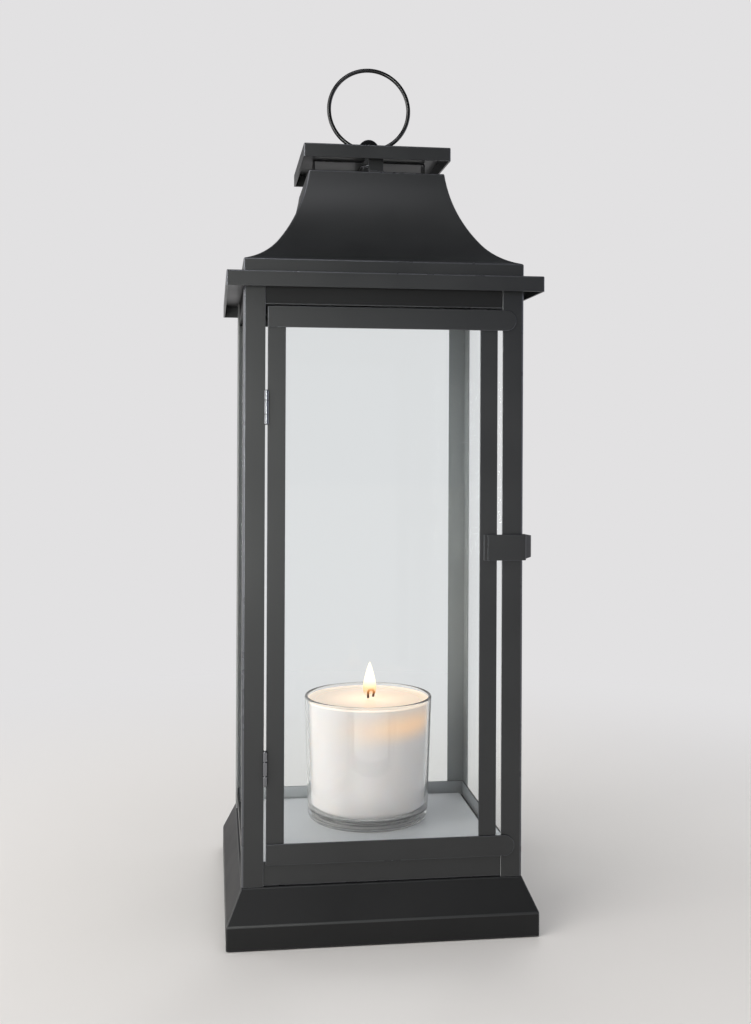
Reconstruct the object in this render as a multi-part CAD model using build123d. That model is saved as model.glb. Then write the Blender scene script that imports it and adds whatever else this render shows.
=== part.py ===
from build123d import *
import os
from math import atan2, cos, degrees, hypot, radians, sin

# Square hurricane lantern for one jar candle, with a glazed door and a hanging ring.
# +X is to the right of someone facing the door, +Y points to the back, +Z is up.
# The origin is the middle of the square that the plinth stands on.
# Sizes are in millimetres and angles in degrees.

# Folded sheet steel
sheet = 1.2
fold_inside = 0.4
moving_gap = 0.3
slip_gap = 0.1

# Body and corner posts
body_width = 190.0
post_leg = 14.6
frame_height = 406.0

# Plinth
plinth_skirt = 15.9
plinth_slope_rise = 21.9
plinth_spread = 10.0
plinth_foot = 8.0
plinth_ledge = 20.0

# Sills under the glass and headers above it
sill_height = 12.4
sill_flange = 10.0
door_stop_height = 3.9
header_height = 19.4
side_header_trim = 2.1
corner_relief = 0.5

# Floor plate
hem_width = 12.0

# Cornice
cornice_spread = 11.4
cornice_lip = 10.3
cornice_flange = 15.0

# Roof: two arcs that meet between the foot and the top edge
upstand_height = 9.6
roof_rise = 70.0
roof_top_width = 97.0
roof_flange = 8.0
roof_steepening = 0.777
roof_flattening = 0.709
roof_joint_turn = 0.936

# Chimney cap and the two straps that carry it
vent_gap = 8.5
cap_overhang = 3.85
cap_lip = 9.5
strap_width = 10.5
strap_foot = 5.2

# Ball eye, its nut and the hanging ring
eye_diameter = 15.6
eye_centre_rise = 8.4
eye_collar_diameter = 10.0
eye_hole_diameter = 4.4
eye_flare_diameter = 8.0
eye_flare_start = 4.8
shank_diameter = 5.0
shank_end = 0.6
thread_gap = 0.05
washer_diameter = 12.0
washer_thickness = 1.0
nut_across_flats = 8.0
nut_height = 4.0
ring_diameter = 62.8
ring_wire = 3.0

# Glass
glass = 2.0
pane_edge_gap = 0.5
pane_header_lap = 11.6
door_glass_lap = 6.0

# Door
door_sill_gap = 2.1
door_header_gap = 1.6
latch_side_gap = 3.5
stile_width = 12.0
rail_height = 14.0
rail_reach = 9.1

# Clips that hold the glass
clip_sheet = 0.8
clip_width = 8.0
clip_grip = 5.6
clip_weld = 5.0
pane_clip_spread = 60.0
door_clip_weld = 3.0
door_clip_grip = 4.4
door_clip_end = 30.0
sill_clip_spread = 40.0

# Hinges
hinge_height = 22.5
hinge_drop = 67.2
hinge_rise = 64.4
knuckle_diameter = 3.4
middle_knuckle = 9.1
knuckle_gap = 0.3
hinge_pin_diameter = 2.1
pin_gap = 0.05
pin_end = 0.4
hinge_leaf = 0.6
hinge_stand_off = 2.2
post_leaf_width = 9.0
door_leaf_width = 4.5

# Latch: a spring clip on the door that hooks round the right post
latch_rise = 209.4
latch_height = 17.6
latch_sheet = 1.0
latch_setback = 2.7
latch_pad_width = 8.4
latch_pad_thickness = 0.9
latch_step = 2.4
latch_overhang = 2.0
latch_leg_depth = 5.5
latch_leg_inset = 0.6
latch_flare_reach = 5.8
latch_flare_depth = 4.1
latch_tip_reach = 0.9
latch_tip_depth = 1.6
latch_tip_taper = 1.4

# Candle in a glass jar
jar_rim_diameter = 99.0
jar_base_diameter = 93.0
jar_height = 94.5
jar_wall = 2.6
jar_base = 6.5
jar_heel_radius = 5.0
jar_well_radius = 8.0
jar_rim_radius = 1.2
jar_back_gap = 3.1
jar_offset = 6.2
wax_below_rim = 3.0
wax_gap = 0.1
wick_diameter = 1.8
wick_stand = 3.0
wick_bend_radius = 8.0
wick_lean = 14.0
wick_curl_radius = 2.2
wick_curl = 178.0
wick_tail = 3.0
sustainer_diameter = 22.0
sustainer_plate = 0.6
sustainer_collar_diameter = 5.0
sustainer_collar_height = 6.0

# Heights that follow from the sizes above
plinth_top = plinth_skirt + plinth_slope_rise
sill_top = plinth_top + sill_height
sill_flange_top = plinth_top + sheet
floor_top = sill_flange_top + 2 * sheet
frame_top = plinth_top + frame_height
header_bottom = frame_top - header_height
cornice_top = frame_top + sheet
roof_foot = cornice_top + upstand_height
roof_top = roof_foot + roof_rise
cap_bottom = roof_top + vent_gap
cap_top = cap_bottom + cap_lip
cap_ceiling = cap_top - sheet
eye_centre = cap_top + eye_centre_rise
ring_radius = (ring_diameter - ring_wire) / 2
ring_centre = eye_centre + ring_radius
door_bottom = sill_top + door_sill_gap
door_top = header_bottom - door_header_gap
pane_top = header_bottom + pane_header_lap

# Distances from the middle of the body that follow from the sizes above
body_half = body_width / 2
rail_face = body_half - sheet
pane_face = rail_face - sheet
pane_inside = pane_face - glass
floor_half = pane_inside - pane_edge_gap
post_edge = body_half - post_leg
fold_outside = fold_inside + sheet
roof_top_half = roof_top_width / 2
throat_half = roof_top_half - roof_flange
cap_half = roof_top_half + cap_overhang
strap_half = throat_half + slip_gap + sheet

# Door edges and faces that follow from the sizes above
hinge_side_gap = 2 * hinge_leaf + moving_gap
door_left = -post_edge + hinge_side_gap
door_right = post_edge - latch_side_gap
opening_left = door_left + stile_width
opening_right = door_right - stile_width
opening_bottom = door_bottom + rail_height
opening_top = door_top - rail_height
rail_back = -body_half - moving_gap
rail_front = rail_back - sheet
stile_back = rail_back + sheet
door_glass_back = stile_back + glass
door_glass_left = opening_left - door_glass_lap
door_glass_right = opening_right + door_glass_lap
door_glass_bottom = opening_bottom - door_glass_lap
door_glass_top = opening_top + door_glass_lap
hinge_x = door_left - hinge_side_gap / 2
hinge_y = -body_half - hinge_stand_off

SIDES = {"front": 0, "right": 90, "back": 180, "left": 270}
CORNERS = {"front_left": 0, "front_right": 90, "back_right": 180, "back_left": 270}
# Profile plane of the front side: first coordinate outwards from the middle, second upwards
OUTWARDS = Plane(origin=(0, 0, 0), x_dir=(0, -1, 0), z_dir=(-1, 0, 0))


# Shared building steps

def block(x_range, y_range, z_range):
    """A box between two limits on each axis."""
    size = [high - low for low, high in (x_range, y_range, z_range)]
    middle = [(low + high) / 2 for low, high in (x_range, y_range, z_range)]
    return Pos(*middle) * Box(*size)


def strip(outline, thickness, side=Side.LEFT):
    """The cross-section of a folded strip whose one face follows an open outline."""
    border = Wire(outline.edges()).offset_2d(thickness, side=side)
    return Face(border)


def mitre_wedge(gap):
    """The quarter of the lantern that belongs to the front side, less a gap at each mitre."""
    reach = body_half + plinth_spread + cornice_spread
    corners = [(0, -gap), (reach, -gap - reach), (-reach, -gap - reach)]
    return extrude(make_face(Polyline(*corners, close=True)), ring_centre, dir=(0, 0, 1))


def mitred_side(profile, gap=0.0):
    """One side of a square shell: a profile run along the front and mitred at both ends."""
    reach = body_half + plinth_spread + cornice_spread
    run = extrude(OUTWARDS * profile, reach, both=True)
    return run & mitre_wedge(gap)


def four_sides(name, side):
    """The same side repeated round the square, one piece for each side."""
    return {f"{name}_{where}": Rot(0, 0, turn) * side for where, turn in SIDES.items()}


# Fixed frame

def plinth_profile():
    """Foot flange, upright skirt, slope and the ledge that the frame stands on."""
    outer = body_half + plinth_spread
    points = [(outer - plinth_foot, 0), (outer, 0), (outer, plinth_skirt),
              (body_half, plinth_top), (body_half - plinth_ledge, plinth_top)]
    return strip(FilletPolyline(*points, radius=fold_outside), sheet)


def sill_profile(web_top):
    """Angle strip behind the posts: an upright web and a flange that carries the floor."""
    points = [(pane_face - sill_flange, plinth_top), (rail_face, plinth_top), (rail_face, web_top)]
    return strip(FilletPolyline(*points, radius=fold_outside), sheet)


def header_profile(bottom):
    """Flat strip behind the posts, from the cornice down to the top of the opening."""
    points = [(rail_face, bottom), (rail_face, frame_top)]
    return strip(Polyline(*points), sheet)


def cornice_profile():
    """Down-turned lip and the flange that bears on the tops of the posts."""
    outer = body_half + cornice_spread
    points = [(outer, cornice_top - cornice_lip), (outer, cornice_top),
              (body_half - cornice_flange, cornice_top)]
    return strip(FilletPolyline(*points, radius=fold_outside), sheet)


def roof_profile():
    """Upstand, a foot arc, a top arc and the flange that the cap's straps stand on."""
    run = body_half - roof_top_half
    chord = degrees(atan2(roof_rise, run))
    top_slope = chord + roof_steepening * (90 - chord)
    foot_slope = chord * (1 - roof_flattening)
    joint_slope = chord * roof_joint_turn
    foot_turn = [sin(radians(joint_slope)) - sin(radians(foot_slope)),
                 cos(radians(foot_slope)) - cos(radians(joint_slope))]
    top_turn = [sin(radians(top_slope)) - sin(radians(joint_slope)),
                cos(radians(joint_slope)) - cos(radians(top_slope))]
    spread = foot_turn[0] * top_turn[1] - foot_turn[1] * top_turn[0]
    foot_radius = (run * top_turn[1] - roof_rise * top_turn[0]) / spread
    top_radius = (foot_turn[0] * roof_rise - foot_turn[1] * run) / spread
    upright = Line((body_half, cornice_top), (body_half, roof_foot))
    heading = (-cos(radians(foot_slope)), sin(radians(foot_slope)))
    foot_arc = JernArc(upright @ 1, heading, foot_radius, foot_slope - joint_slope)
    top_arc = JernArc(foot_arc @ 1, foot_arc % 1, top_radius, joint_slope - top_slope)
    flange = Line(top_arc @ 1, (throat_half, roof_top))
    return strip(Wire([upright, foot_arc, top_arc, flange]), sheet)


def corner_post():
    """Angle post at the front left corner, from the plinth to the cornice."""
    points = [(-post_edge, -body_half), (-body_half, -body_half), (-body_half, -post_edge)]
    profile = strip(FilletPolyline(*points, radius=fold_outside), sheet, Side.RIGHT)
    return Pos(0, 0, plinth_top) * extrude(profile, frame_height, dir=(0, 0, 1))


def floor_plate():
    """Plate on the sill flanges, with its edges folded back flat underneath."""
    half = (-floor_half, floor_half)
    inner = (-floor_half + hem_width, floor_half - hem_width)
    plate = block(half, half, (sill_flange_top, floor_top))
    plate = fillet(plate.edges().group_by(Axis.Z)[-1], sheet)
    return plate - block(inner, inner, (sill_flange_top, floor_top - sheet))


def fixed_pane(half_width):
    """Pane between a sill web and the floor plate, its lower edge ground clear of the fold."""
    plate = block((-half_width, half_width), (-pane_face, -pane_inside), (sill_flange_top, pane_top))
    low_edge = plate.edges().group_by(Axis.Z)[0].group_by(Axis.Y)[0]
    return chamfer(low_edge, fold_inside)


def fixed_panes():
    """Two side panes, and a back pane that stands between them."""
    side = fixed_pane(pane_face - pane_edge_gap)
    back = fixed_pane(floor_half)
    return {"pane_left": Rot(0, 0, SIDES["left"]) * side, "pane_right": Rot(0, 0, SIDES["right"]) * side,
            "pane_back": Rot(0, 0, SIDES["back"]) * back}


def pane_clip():
    """Z-shaped tab on the front header that would hook over the top edge of a pane."""
    step = pane_top + moving_gap
    inner = pane_inside - slip_gap - clip_sheet
    points = [(inner, pane_top - clip_grip), (inner, step + clip_sheet),
              (pane_face - clip_sheet, step + clip_sheet),
              (pane_face - clip_sheet, step + clip_sheet + clip_weld)]
    profile = strip(Polyline(*points), clip_sheet, Side.RIGHT)
    return extrude(OUTWARDS * profile, clip_width / 2, both=True)


def pane_clips():
    """Two tabs for each fixed pane."""
    places = [(SIDES[side], x) for side in ("right", "back", "left")
              for x in (-pane_clip_spread, pane_clip_spread)]
    return Compound([Rot(0, 0, turn) * Pos(x, 0, 0) * pane_clip() for turn, x in places])


# Roof cap, eye and ring

def chimney_cap():
    """Square tray with a down-turned lip and a hole for the eye's shank."""
    outside = (-cap_half, cap_half)
    inside = (-cap_half + sheet, cap_half - sheet)
    shell = block(outside, outside, (cap_bottom, cap_top))
    shell = fillet(shell.edges().group_by(Axis.Z)[-1], fold_outside)
    hollow = block(inside, inside, (cap_bottom - sheet, cap_ceiling))
    hollow = fillet(hollow.edges().group_by(Axis.Z)[-1], fold_inside)
    return shell - hollow - shank_hole()


def shank_hole():
    """Clearance for the eye's shank through the cap and the straps."""
    hole = Cylinder(shank_diameter / 2 + slip_gap, ring_centre - roof_top)
    return Pos(0, 0, (ring_centre + roof_top) / 2) * hole


def cap_strap(bridge_top):
    """Hat-shaped strap: two feet on the roof flange, two legs and a bridge under the cap."""
    foot_top = roof_top + sheet
    foot_end = strap_half + strap_foot
    points = [(-foot_end, foot_top), (-strap_half, foot_top), (-strap_half, bridge_top),
              (strap_half, bridge_top), (strap_half, foot_top), (foot_end, foot_top)]
    radii = [fold_inside, fold_outside, fold_outside, fold_inside]
    profile = strip(FilletPolyline(*points, radius=radii), sheet, Side.RIGHT)
    return extrude(Plane.XZ * profile, strap_width / 2, both=True) - shank_hole()


def ring_eye():
    """Ball with a flared cross hole, on a collar and a threaded shank."""
    ball = Sphere(eye_diameter / 2)
    collar_height = eye_centre_rise - eye_diameter / 4
    collar = Pos(0, 0, -eye_centre_rise + collar_height / 2) * Cylinder(
        eye_collar_diameter / 2, collar_height)
    shank_length = eye_centre_rise + cap_lip - shank_end
    shank = Pos(0, 0, -shank_length / 2) * Cylinder(shank_diameter / 2, shank_length)
    hole = Rot(0, 90, 0) * Cylinder(eye_hole_diameter / 2, eye_diameter)
    flare_depth = eye_diameter / 2 - eye_flare_start
    flare = Pos(0, 0, eye_flare_start + flare_depth / 2) * Cone(
        eye_hole_diameter / 2, eye_flare_diameter / 2, flare_depth)
    flares = [Rot(0, turn, 0) * flare for turn in (90, -90)]
    return Pos(0, 0, eye_centre) * (ball + collar + shank - hole - flares[0] - flares[1])


def eye_washer():
    """Plain washer under the lower strap."""
    top = cap_ceiling - 2 * sheet
    disc = Cylinder(washer_diameter / 2, washer_thickness)
    return Pos(0, 0, top - washer_thickness / 2) * disc - shank_hole()


def eye_nut():
    """Hexagon nut on the eye's shank."""
    top = cap_ceiling - 2 * sheet - washer_thickness
    hexagon = RegularPolygon(nut_across_flats / 2, 6, major_radius=False)
    bore = Circle(shank_diameter / 2 + thread_gap)
    return Pos(0, 0, top - nut_height) * extrude(hexagon - bore, nut_height)


def hanging_ring():
    """Round wire ring that passes through the eye."""
    return Pos(0, 0, ring_centre) * Rot(90, 0, 0) * Torus(ring_radius, ring_wire / 2)


# Door

def stile(left, right):
    """Upright flat strip of the door, behind the two rails."""
    return block((left, right), (rail_back, stile_back), (door_bottom, door_top))


def door_rail(bottom):
    """Flat strip across the door, whose rounded end overlaps the right post as a stop."""
    end = post_edge + rail_reach - rail_height / 2
    middle = bottom + rail_height / 2
    bar = Pos((door_left + end) / 2, middle) * Rectangle(end - door_left, rail_height)
    outline = bar + Pos(end, middle) * Circle(rail_height / 2)
    return Pos(0, rail_back, 0) * extrude(Plane.XZ * outline, sheet, dir=(0, -1, 0))


def door_pane():
    """Glass of the door, behind the stiles."""
    return block((door_glass_left, door_glass_right), (stile_back, door_glass_back),
                 (door_glass_bottom, door_glass_top))


def stile_clip():
    """Z-shaped tab on the back of the left stile, hooked over the edge of the door's glass."""
    edge = door_glass_left - moving_gap
    back = door_glass_back + slip_gap
    points = [(edge - clip_sheet - door_clip_weld, stile_back), (edge, stile_back), (edge, back),
              (door_glass_left + door_clip_grip, back)]
    profile = strip(Polyline(*points), clip_sheet)
    return extrude(profile, clip_width / 2, both=True)


def sill_clip():
    """J-shaped tab on the bottom rail that carries the lower edge of the door's glass."""
    low = door_glass_bottom - moving_gap - clip_sheet
    back = door_glass_back + slip_gap
    points = [(-rail_back, opening_bottom - slip_gap - door_clip_grip),
              (-rail_back, low), (-back - clip_sheet, low),
              (-back - clip_sheet, door_glass_bottom + door_clip_grip)]
    profile = strip(Polyline(*points), clip_sheet, Side.RIGHT)
    return extrude(OUTWARDS * profile, clip_width / 2, both=True)


def door_clips():
    """Three tabs on each stile and two under the glass."""
    middle_x = (door_left + door_right) / 2
    heights = [door_glass_bottom + door_clip_end, (door_bottom + door_top) / 2,
               door_glass_top - door_clip_end]
    left = [Pos(0, 0, z) * stile_clip() for z in heights]
    right = [mirror(clip, Plane.YZ.offset(middle_x)) for clip in left]
    low = [Pos(middle_x + x, 0, 0) * sill_clip() for x in (-sill_clip_spread, sill_clip_spread)]
    return Compound(left + right + low)


# Hinges, each built round the pin's axis at its own mid height

def knuckle(low, high):
    """One rolled knuckle, still without its bore."""
    return Pos(0, 0, (low + high) / 2) * Cylinder(knuckle_diameter / 2, high - low)


def pin_bore(diameter):
    """A cylinder on the pin's axis, longer than the hinge."""
    return Cylinder(diameter / 2, hinge_height + knuckle_diameter)


def room_for_knuckle(low, high):
    """The space that a leaf leaves free round a knuckle of the other leaf."""
    radius = knuckle_diameter / 2 + moving_gap
    return Pos(0, 0, (low + high) / 2) * Cylinder(radius, high - low)


def post_leaf():
    """Fixed leaf: top and bottom knuckles, and a flange on the inner face of the post."""
    half = hinge_height / 2
    middle = middle_knuckle / 2
    near = -hinge_side_gap / 2
    seat = -rail_face - hinge_y
    web = block((near, near + hinge_leaf), (0, seat + hinge_leaf), (-half, half))
    flange = block((near - post_leaf_width, near + hinge_leaf), (seat, seat + hinge_leaf), (-half, half))
    leaf = web + flange - room_for_knuckle(-middle - knuckle_gap, middle + knuckle_gap)
    leaf = leaf + knuckle(middle + knuckle_gap, half) + knuckle(-half, -middle - knuckle_gap)
    return leaf - pin_bore(hinge_pin_diameter + 2 * pin_gap)


def door_leaf():
    """Moving leaf: the middle knuckle, and a flange on the back of the left stile."""
    half = hinge_height / 2
    middle = middle_knuckle / 2
    near = hinge_side_gap / 2
    seat = stile_back - hinge_y
    web = block((near - hinge_leaf, near), (0, seat + hinge_leaf), (-half, half))
    flange = block((near - hinge_leaf, near + door_leaf_width), (seat, seat + hinge_leaf), (-half, half))
    leaf = web + flange - room_for_knuckle(middle, half) - room_for_knuckle(-half, -middle)
    leaf = leaf + knuckle(-middle, middle)
    return leaf - pin_bore(hinge_pin_diameter + 2 * pin_gap)


def hinge_pin():
    """Plain pin with chamfered ends."""
    pin = Cylinder(hinge_pin_diameter / 2, hinge_height + 2 * pin_end)
    return chamfer(pin.edges(), pin_end / 2)


def hinges():
    """Both hinges, the upper one measured from the door's top and the lower from its bottom."""
    pieces = {}
    for name, height in (("upper", door_top - hinge_drop), ("lower", door_bottom + hinge_rise)):
        place = Pos(hinge_x, hinge_y, height)
        pieces[f"hinge_post_leaf_{name}"] = place * post_leaf()
        pieces[f"hinge_door_leaf_{name}"] = place * door_leaf()
        pieces[f"hinge_pin_{name}"] = place * hinge_pin()
    return pieces


# Latch

def latch_pad():
    """Pad welded to the right stile, which carries the clip."""
    left = opening_right + latch_setback
    middle = door_bottom + latch_rise
    half = latch_height / 2
    return block((left, left + latch_pad_width), (rail_back - latch_pad_thickness, rail_back),
                 (middle - half, middle + half))


def latch_clip():
    """Spring clip: a flat plate, a leg round the post's outer side and a flared lip."""
    left = opening_right + latch_setback + latch_step
    back = rail_back - latch_pad_thickness - moving_gap
    front = back - latch_sheet
    bend = body_half + latch_overhang
    leg_end = (bend - latch_leg_inset, front + latch_leg_depth)
    flare_end = (leg_end[0] + latch_flare_reach, leg_end[1] + latch_flare_depth)
    tip = (flare_end[0] + latch_tip_reach, flare_end[1] + latch_tip_depth)
    points = [(left, front), (bend, front), leg_end, flare_end, tip]
    radii = [fold_inside + latch_sheet, fold_inside, fold_inside + latch_sheet]
    profile = strip(FilletPolyline(*points, radius=radii), latch_sheet)
    half = latch_height / 2
    tip_half = half - latch_tip_taper
    edge = tip[0] + latch_sheet
    front_view = [(left, half), (bend, half), (edge, tip_half), (edge, -tip_half), (bend, -half), (left, -half)]
    trim = extrude(Plane.XZ * make_face(Polyline(*front_view, close=True)), body_width, both=True)
    clip = extrude(profile, latch_height, both=True) & trim
    return Pos(0, 0, door_bottom + latch_rise) * clip


# Candle, built on the origin and then set down on the floor plate

def wall_radius(height):
    """Outer radius of the jar at a height above its base."""
    return (jar_base_diameter + (jar_rim_diameter - jar_base_diameter) * height / jar_height) / 2


def turned(points, radii):
    """A body of revolution whose half section starts and ends on the Z axis."""
    outline = FilletPolyline(*points, radius=radii)
    section = make_face(outline.edges() + Line(outline @ 1, outline @ 0).edges())
    return revolve(Plane.XZ * section, Axis.Z)


def candle_jar():
    """Thick-based glass tumbler that widens a little towards its rim."""
    points = [(0, 0), (wall_radius(0), 0), (wall_radius(jar_height), jar_height),
              (wall_radius(jar_height) - jar_wall, jar_height),
              (wall_radius(jar_base) - jar_wall, jar_base), (0, jar_base)]
    return turned(points, [jar_heel_radius, jar_rim_radius, jar_rim_radius, jar_well_radius])


def candle_wax():
    """Wax poured round the wick and its sustainer, to just below the rim."""
    bottom = jar_base + wax_gap
    top = jar_height - wax_below_rim
    inset = jar_wall + wax_gap
    points = [(0, bottom), (wall_radius(bottom) - inset, bottom), (wall_radius(top) - inset, top), (0, top)]
    wax = turned(points, [jar_well_radius, jar_rim_radius])
    plate_height = sustainer_plate + wax_gap
    plate_room = Cylinder(sustainer_diameter / 2 + wax_gap, plate_height)
    collar_height = sustainer_collar_height + wax_gap
    collar_room = Cylinder(sustainer_collar_diameter / 2 + wax_gap, collar_height)
    wick_room = Cylinder(wick_diameter / 2 + wax_gap, 2 * jar_height)
    wax = wax - Pos(0, 0, jar_base + plate_height / 2) * plate_room
    return wax - Pos(0, 0, jar_base + collar_height / 2) * collar_room - wick_room


def wick_sustainer():
    """Tin plate on the jar's base, with a collar that grips the wick."""
    plate = Pos(0, 0, sustainer_plate / 2) * Cylinder(sustainer_diameter / 2, sustainer_plate)
    collar = Pos(0, 0, sustainer_collar_height / 2) * Cylinder(
        sustainer_collar_diameter / 2, sustainer_collar_height)
    bore = Cylinder(wick_diameter / 2 + thread_gap, 3 * sustainer_collar_height)
    return Pos(0, 0, jar_base) * (plate + collar - bore)


def candle_wick():
    """Cotton wick that stands out of the wax and curls over."""
    upright = Line((0, jar_base), (0, jar_height - wax_below_rim + wick_stand))
    lean = JernArc(upright @ 1, upright % 1, wick_bend_radius, -wick_lean)
    curl = JernArc(lean @ 1, lean % 1, wick_curl_radius, -wick_curl)
    tail = Line(curl @ 1, curl @ 1 + wick_tail * (curl % 1))
    path = Plane.XZ * Wire([upright, lean, curl, tail])
    section = Plane(origin=path @ 0, z_dir=path % 0) * Circle(wick_diameter / 2)
    return sweep(section, path)


def candle():
    """The candle's pieces, standing on the floor plate near the back pane."""
    back = pane_inside - jar_back_gap - jar_rim_diameter / 2
    place = Pos(jar_offset, back, floor_top)
    makers = {"candle_jar": candle_jar, "candle_wax": candle_wax, "candle_wick": candle_wick,
              "wick_sustainer": wick_sustainer}
    return {name: place * maker() for name, maker in makers.items()}


def lantern():
    """Every piece of the lantern by name."""
    pieces = {}
    pieces.update(four_sides("plinth", mitred_side(plinth_profile())))
    pieces.update(four_sides("sill", mitred_side(sill_profile(sill_top), corner_relief)))
    # The front sill's web rises behind the door's lower rail, which comes to rest in front of it
    pieces["sill_front"] = mitred_side(sill_profile(sill_top + door_stop_height), corner_relief)
    pieces.update(four_sides("header", mitred_side(header_profile(header_bottom + side_header_trim), corner_relief)))
    # The front header reaches lower, down to the door's upper rail
    pieces["header_front"] = mitred_side(header_profile(header_bottom), corner_relief)
    pieces.update(four_sides("cornice", mitred_side(cornice_profile())))
    pieces.update(four_sides("roof", mitred_side(roof_profile())))
    for corner, turn in CORNERS.items():
        pieces[f"post_{corner}"] = Rot(0, 0, turn) * corner_post()
    pieces["floor_plate"] = floor_plate()
    pieces.update(fixed_panes())
    pieces["pane_clips"] = pane_clips()
    pieces["chimney_cap"] = chimney_cap()
    pieces["cap_strap_across"] = cap_strap(cap_ceiling)
    pieces["cap_strap_along"] = Rot(0, 0, 90) * cap_strap(cap_ceiling - sheet)
    pieces["ring_eye"] = ring_eye()
    pieces["eye_washer"] = eye_washer()
    pieces["eye_nut"] = eye_nut()
    pieces["hanging_ring"] = hanging_ring()
    pieces["door_stile_left"] = stile(door_left, opening_left)
    pieces["door_stile_right"] = stile(opening_right, door_right)
    pieces["door_rail_top"] = door_rail(opening_top)
    pieces["door_rail_bottom"] = door_rail(door_bottom)
    pieces["door_pane"] = door_pane()
    pieces["door_clips"] = door_clips()
    pieces.update(hinges())
    pieces["latch_pad"] = latch_pad()
    pieces["latch_clip"] = latch_clip()
    pieces.update(candle())
    return pieces


os.makedirs("parts", exist_ok=True)
for node, shape in lantern().items():
    export_step(shape, f"parts/{node}.step")
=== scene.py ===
"""Visual model of a square hurricane lantern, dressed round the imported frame.

Every piece is modelled in millimetres and stored in metres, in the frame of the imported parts:
+X to the right of someone facing the door, +Y to the back, +Z up, the origin under the plinth.
"""
import logging
from dataclasses import dataclass
from enum import Enum
from math import atan2, cos, degrees, pi, radians, sin, tan, tau
from typing import Callable, Iterable, Sequence

import bmesh
import bpy
from bmesh.types import BMEdge, BMFace, BMVert
from bpy.types import NodeSocket, NodeTree
from mathutils import Matrix, Vector


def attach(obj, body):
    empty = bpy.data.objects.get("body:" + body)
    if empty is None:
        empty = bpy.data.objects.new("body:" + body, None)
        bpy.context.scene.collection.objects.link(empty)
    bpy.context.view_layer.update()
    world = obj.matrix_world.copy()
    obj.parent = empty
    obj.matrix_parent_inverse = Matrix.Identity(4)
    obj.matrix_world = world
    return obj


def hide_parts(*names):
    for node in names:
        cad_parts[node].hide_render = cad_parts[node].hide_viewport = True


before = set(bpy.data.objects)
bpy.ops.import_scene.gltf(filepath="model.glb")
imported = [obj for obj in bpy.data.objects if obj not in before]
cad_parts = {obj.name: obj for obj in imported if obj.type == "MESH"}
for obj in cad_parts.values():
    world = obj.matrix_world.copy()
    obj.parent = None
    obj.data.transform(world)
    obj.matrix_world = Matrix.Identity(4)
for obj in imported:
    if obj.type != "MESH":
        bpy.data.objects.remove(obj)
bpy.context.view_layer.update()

LOG = logging.getLogger("lantern")
MM = 0.001
Point = tuple[float, float, float]
Pair = tuple[float, float]

# Sizes that several pieces share, in millimetres
SHEET = 1.2
FOLD = 0.9
CUT = 0.25
CANDLE_AXIS = (6.2, 38.0)

# Nearly all of what a noise texture gives lies between these
NOISE_LOW, NOISE_HIGH = 0.3, 0.7
SMOOTH = {"interpolation_type": "SMOOTHSTEP"}

SIDES = {"front": 0.0, "right": 90.0, "back": 180.0, "left": 270.0}
CORNERS = {"front_left": 0.0, "front_right": 90.0, "back_right": 180.0, "back_left": 270.0}


class Slot(Enum):
    """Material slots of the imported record."""

    BLACK = "black_powder_coat"
    GREY = "grey_powder_coat"
    GLASS = "clear_glass"
    STEEL = "bare_steel"
    WAX = "candle_wax"
    WICK = "wick_cotton"


class Body(Enum):
    """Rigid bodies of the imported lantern."""

    CASE = "case"
    DOOR = "door"
    LATCH = "latch"
    RING = "ring"
    CANDLE = "candle"


def linear(colour: str) -> tuple[float, float, float, float]:
    """Turn an sRGB hex colour into linear light.

    Args:
        colour: Hex colour such as "#2f3031".

    Returns:
        Linear red, green, blue and an alpha of 1.
    """
    parts = [int(colour[i:i + 2], 16) / 255 for i in (1, 3, 5)]
    light = [c / 12.92 if c <= 0.04045 else ((c + 0.055) / 1.055) ** 2.4 for c in parts]
    return (light[0], light[1], light[2], 1.0)


def add_node(tree: NodeTree, kind: str, values: dict | None = None, out: int | str = 0) -> NodeSocket | None:
    """Add one node with its settings and links.

    Args:
        tree: Node tree that gets the node.
        kind: Node type without its prefix, such as "Bump".
        values: Values by attribute name, or by the name or number of an input. A socket is linked.
        out: Name or number of the output that is wanted.

    Returns:
        That output, or None where the node has none.
    """
    node = tree.nodes.new(f"ShaderNode{kind}")
    for name, value in (values or {}).items():
        if isinstance(value, NodeSocket):
            tree.links.new(value, node.inputs[name])
        elif isinstance(name, str) and hasattr(node, name):
            setattr(node, name, value)
        else:
            node.inputs[name].default_value = value
    return node.outputs[out] if len(node.outputs) else None


def new_object(name: str, data: bpy.types.ID) -> bpy.types.Object:
    """Make an object for a mesh, a lamp or a camera and link it into the scene."""
    made = bpy.data.objects.new(name, data)
    bpy.context.scene.collection.objects.link(made)
    return made


@dataclass(frozen=True)
class Finish:
    """A finish: a material's name, its slot in the record and the nodes that draw it."""

    name: str
    slot: Slot

    def shader(self, tree: NodeTree) -> NodeSocket:
        """Build the nodes and return the shader output."""
        raise NotImplementedError

    def material(self) -> bpy.types.Material:
        """Make the material, or fetch it where it is made already."""
        found = bpy.data.materials.get(self.name)
        if found is not None:
            return found
        made = bpy.data.materials.new(self.name)
        made.use_nodes = True
        made.node_tree.nodes.clear()
        add_node(made.node_tree, "OutputMaterial", {"Surface": self.shader(made.node_tree)})
        return made


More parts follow.
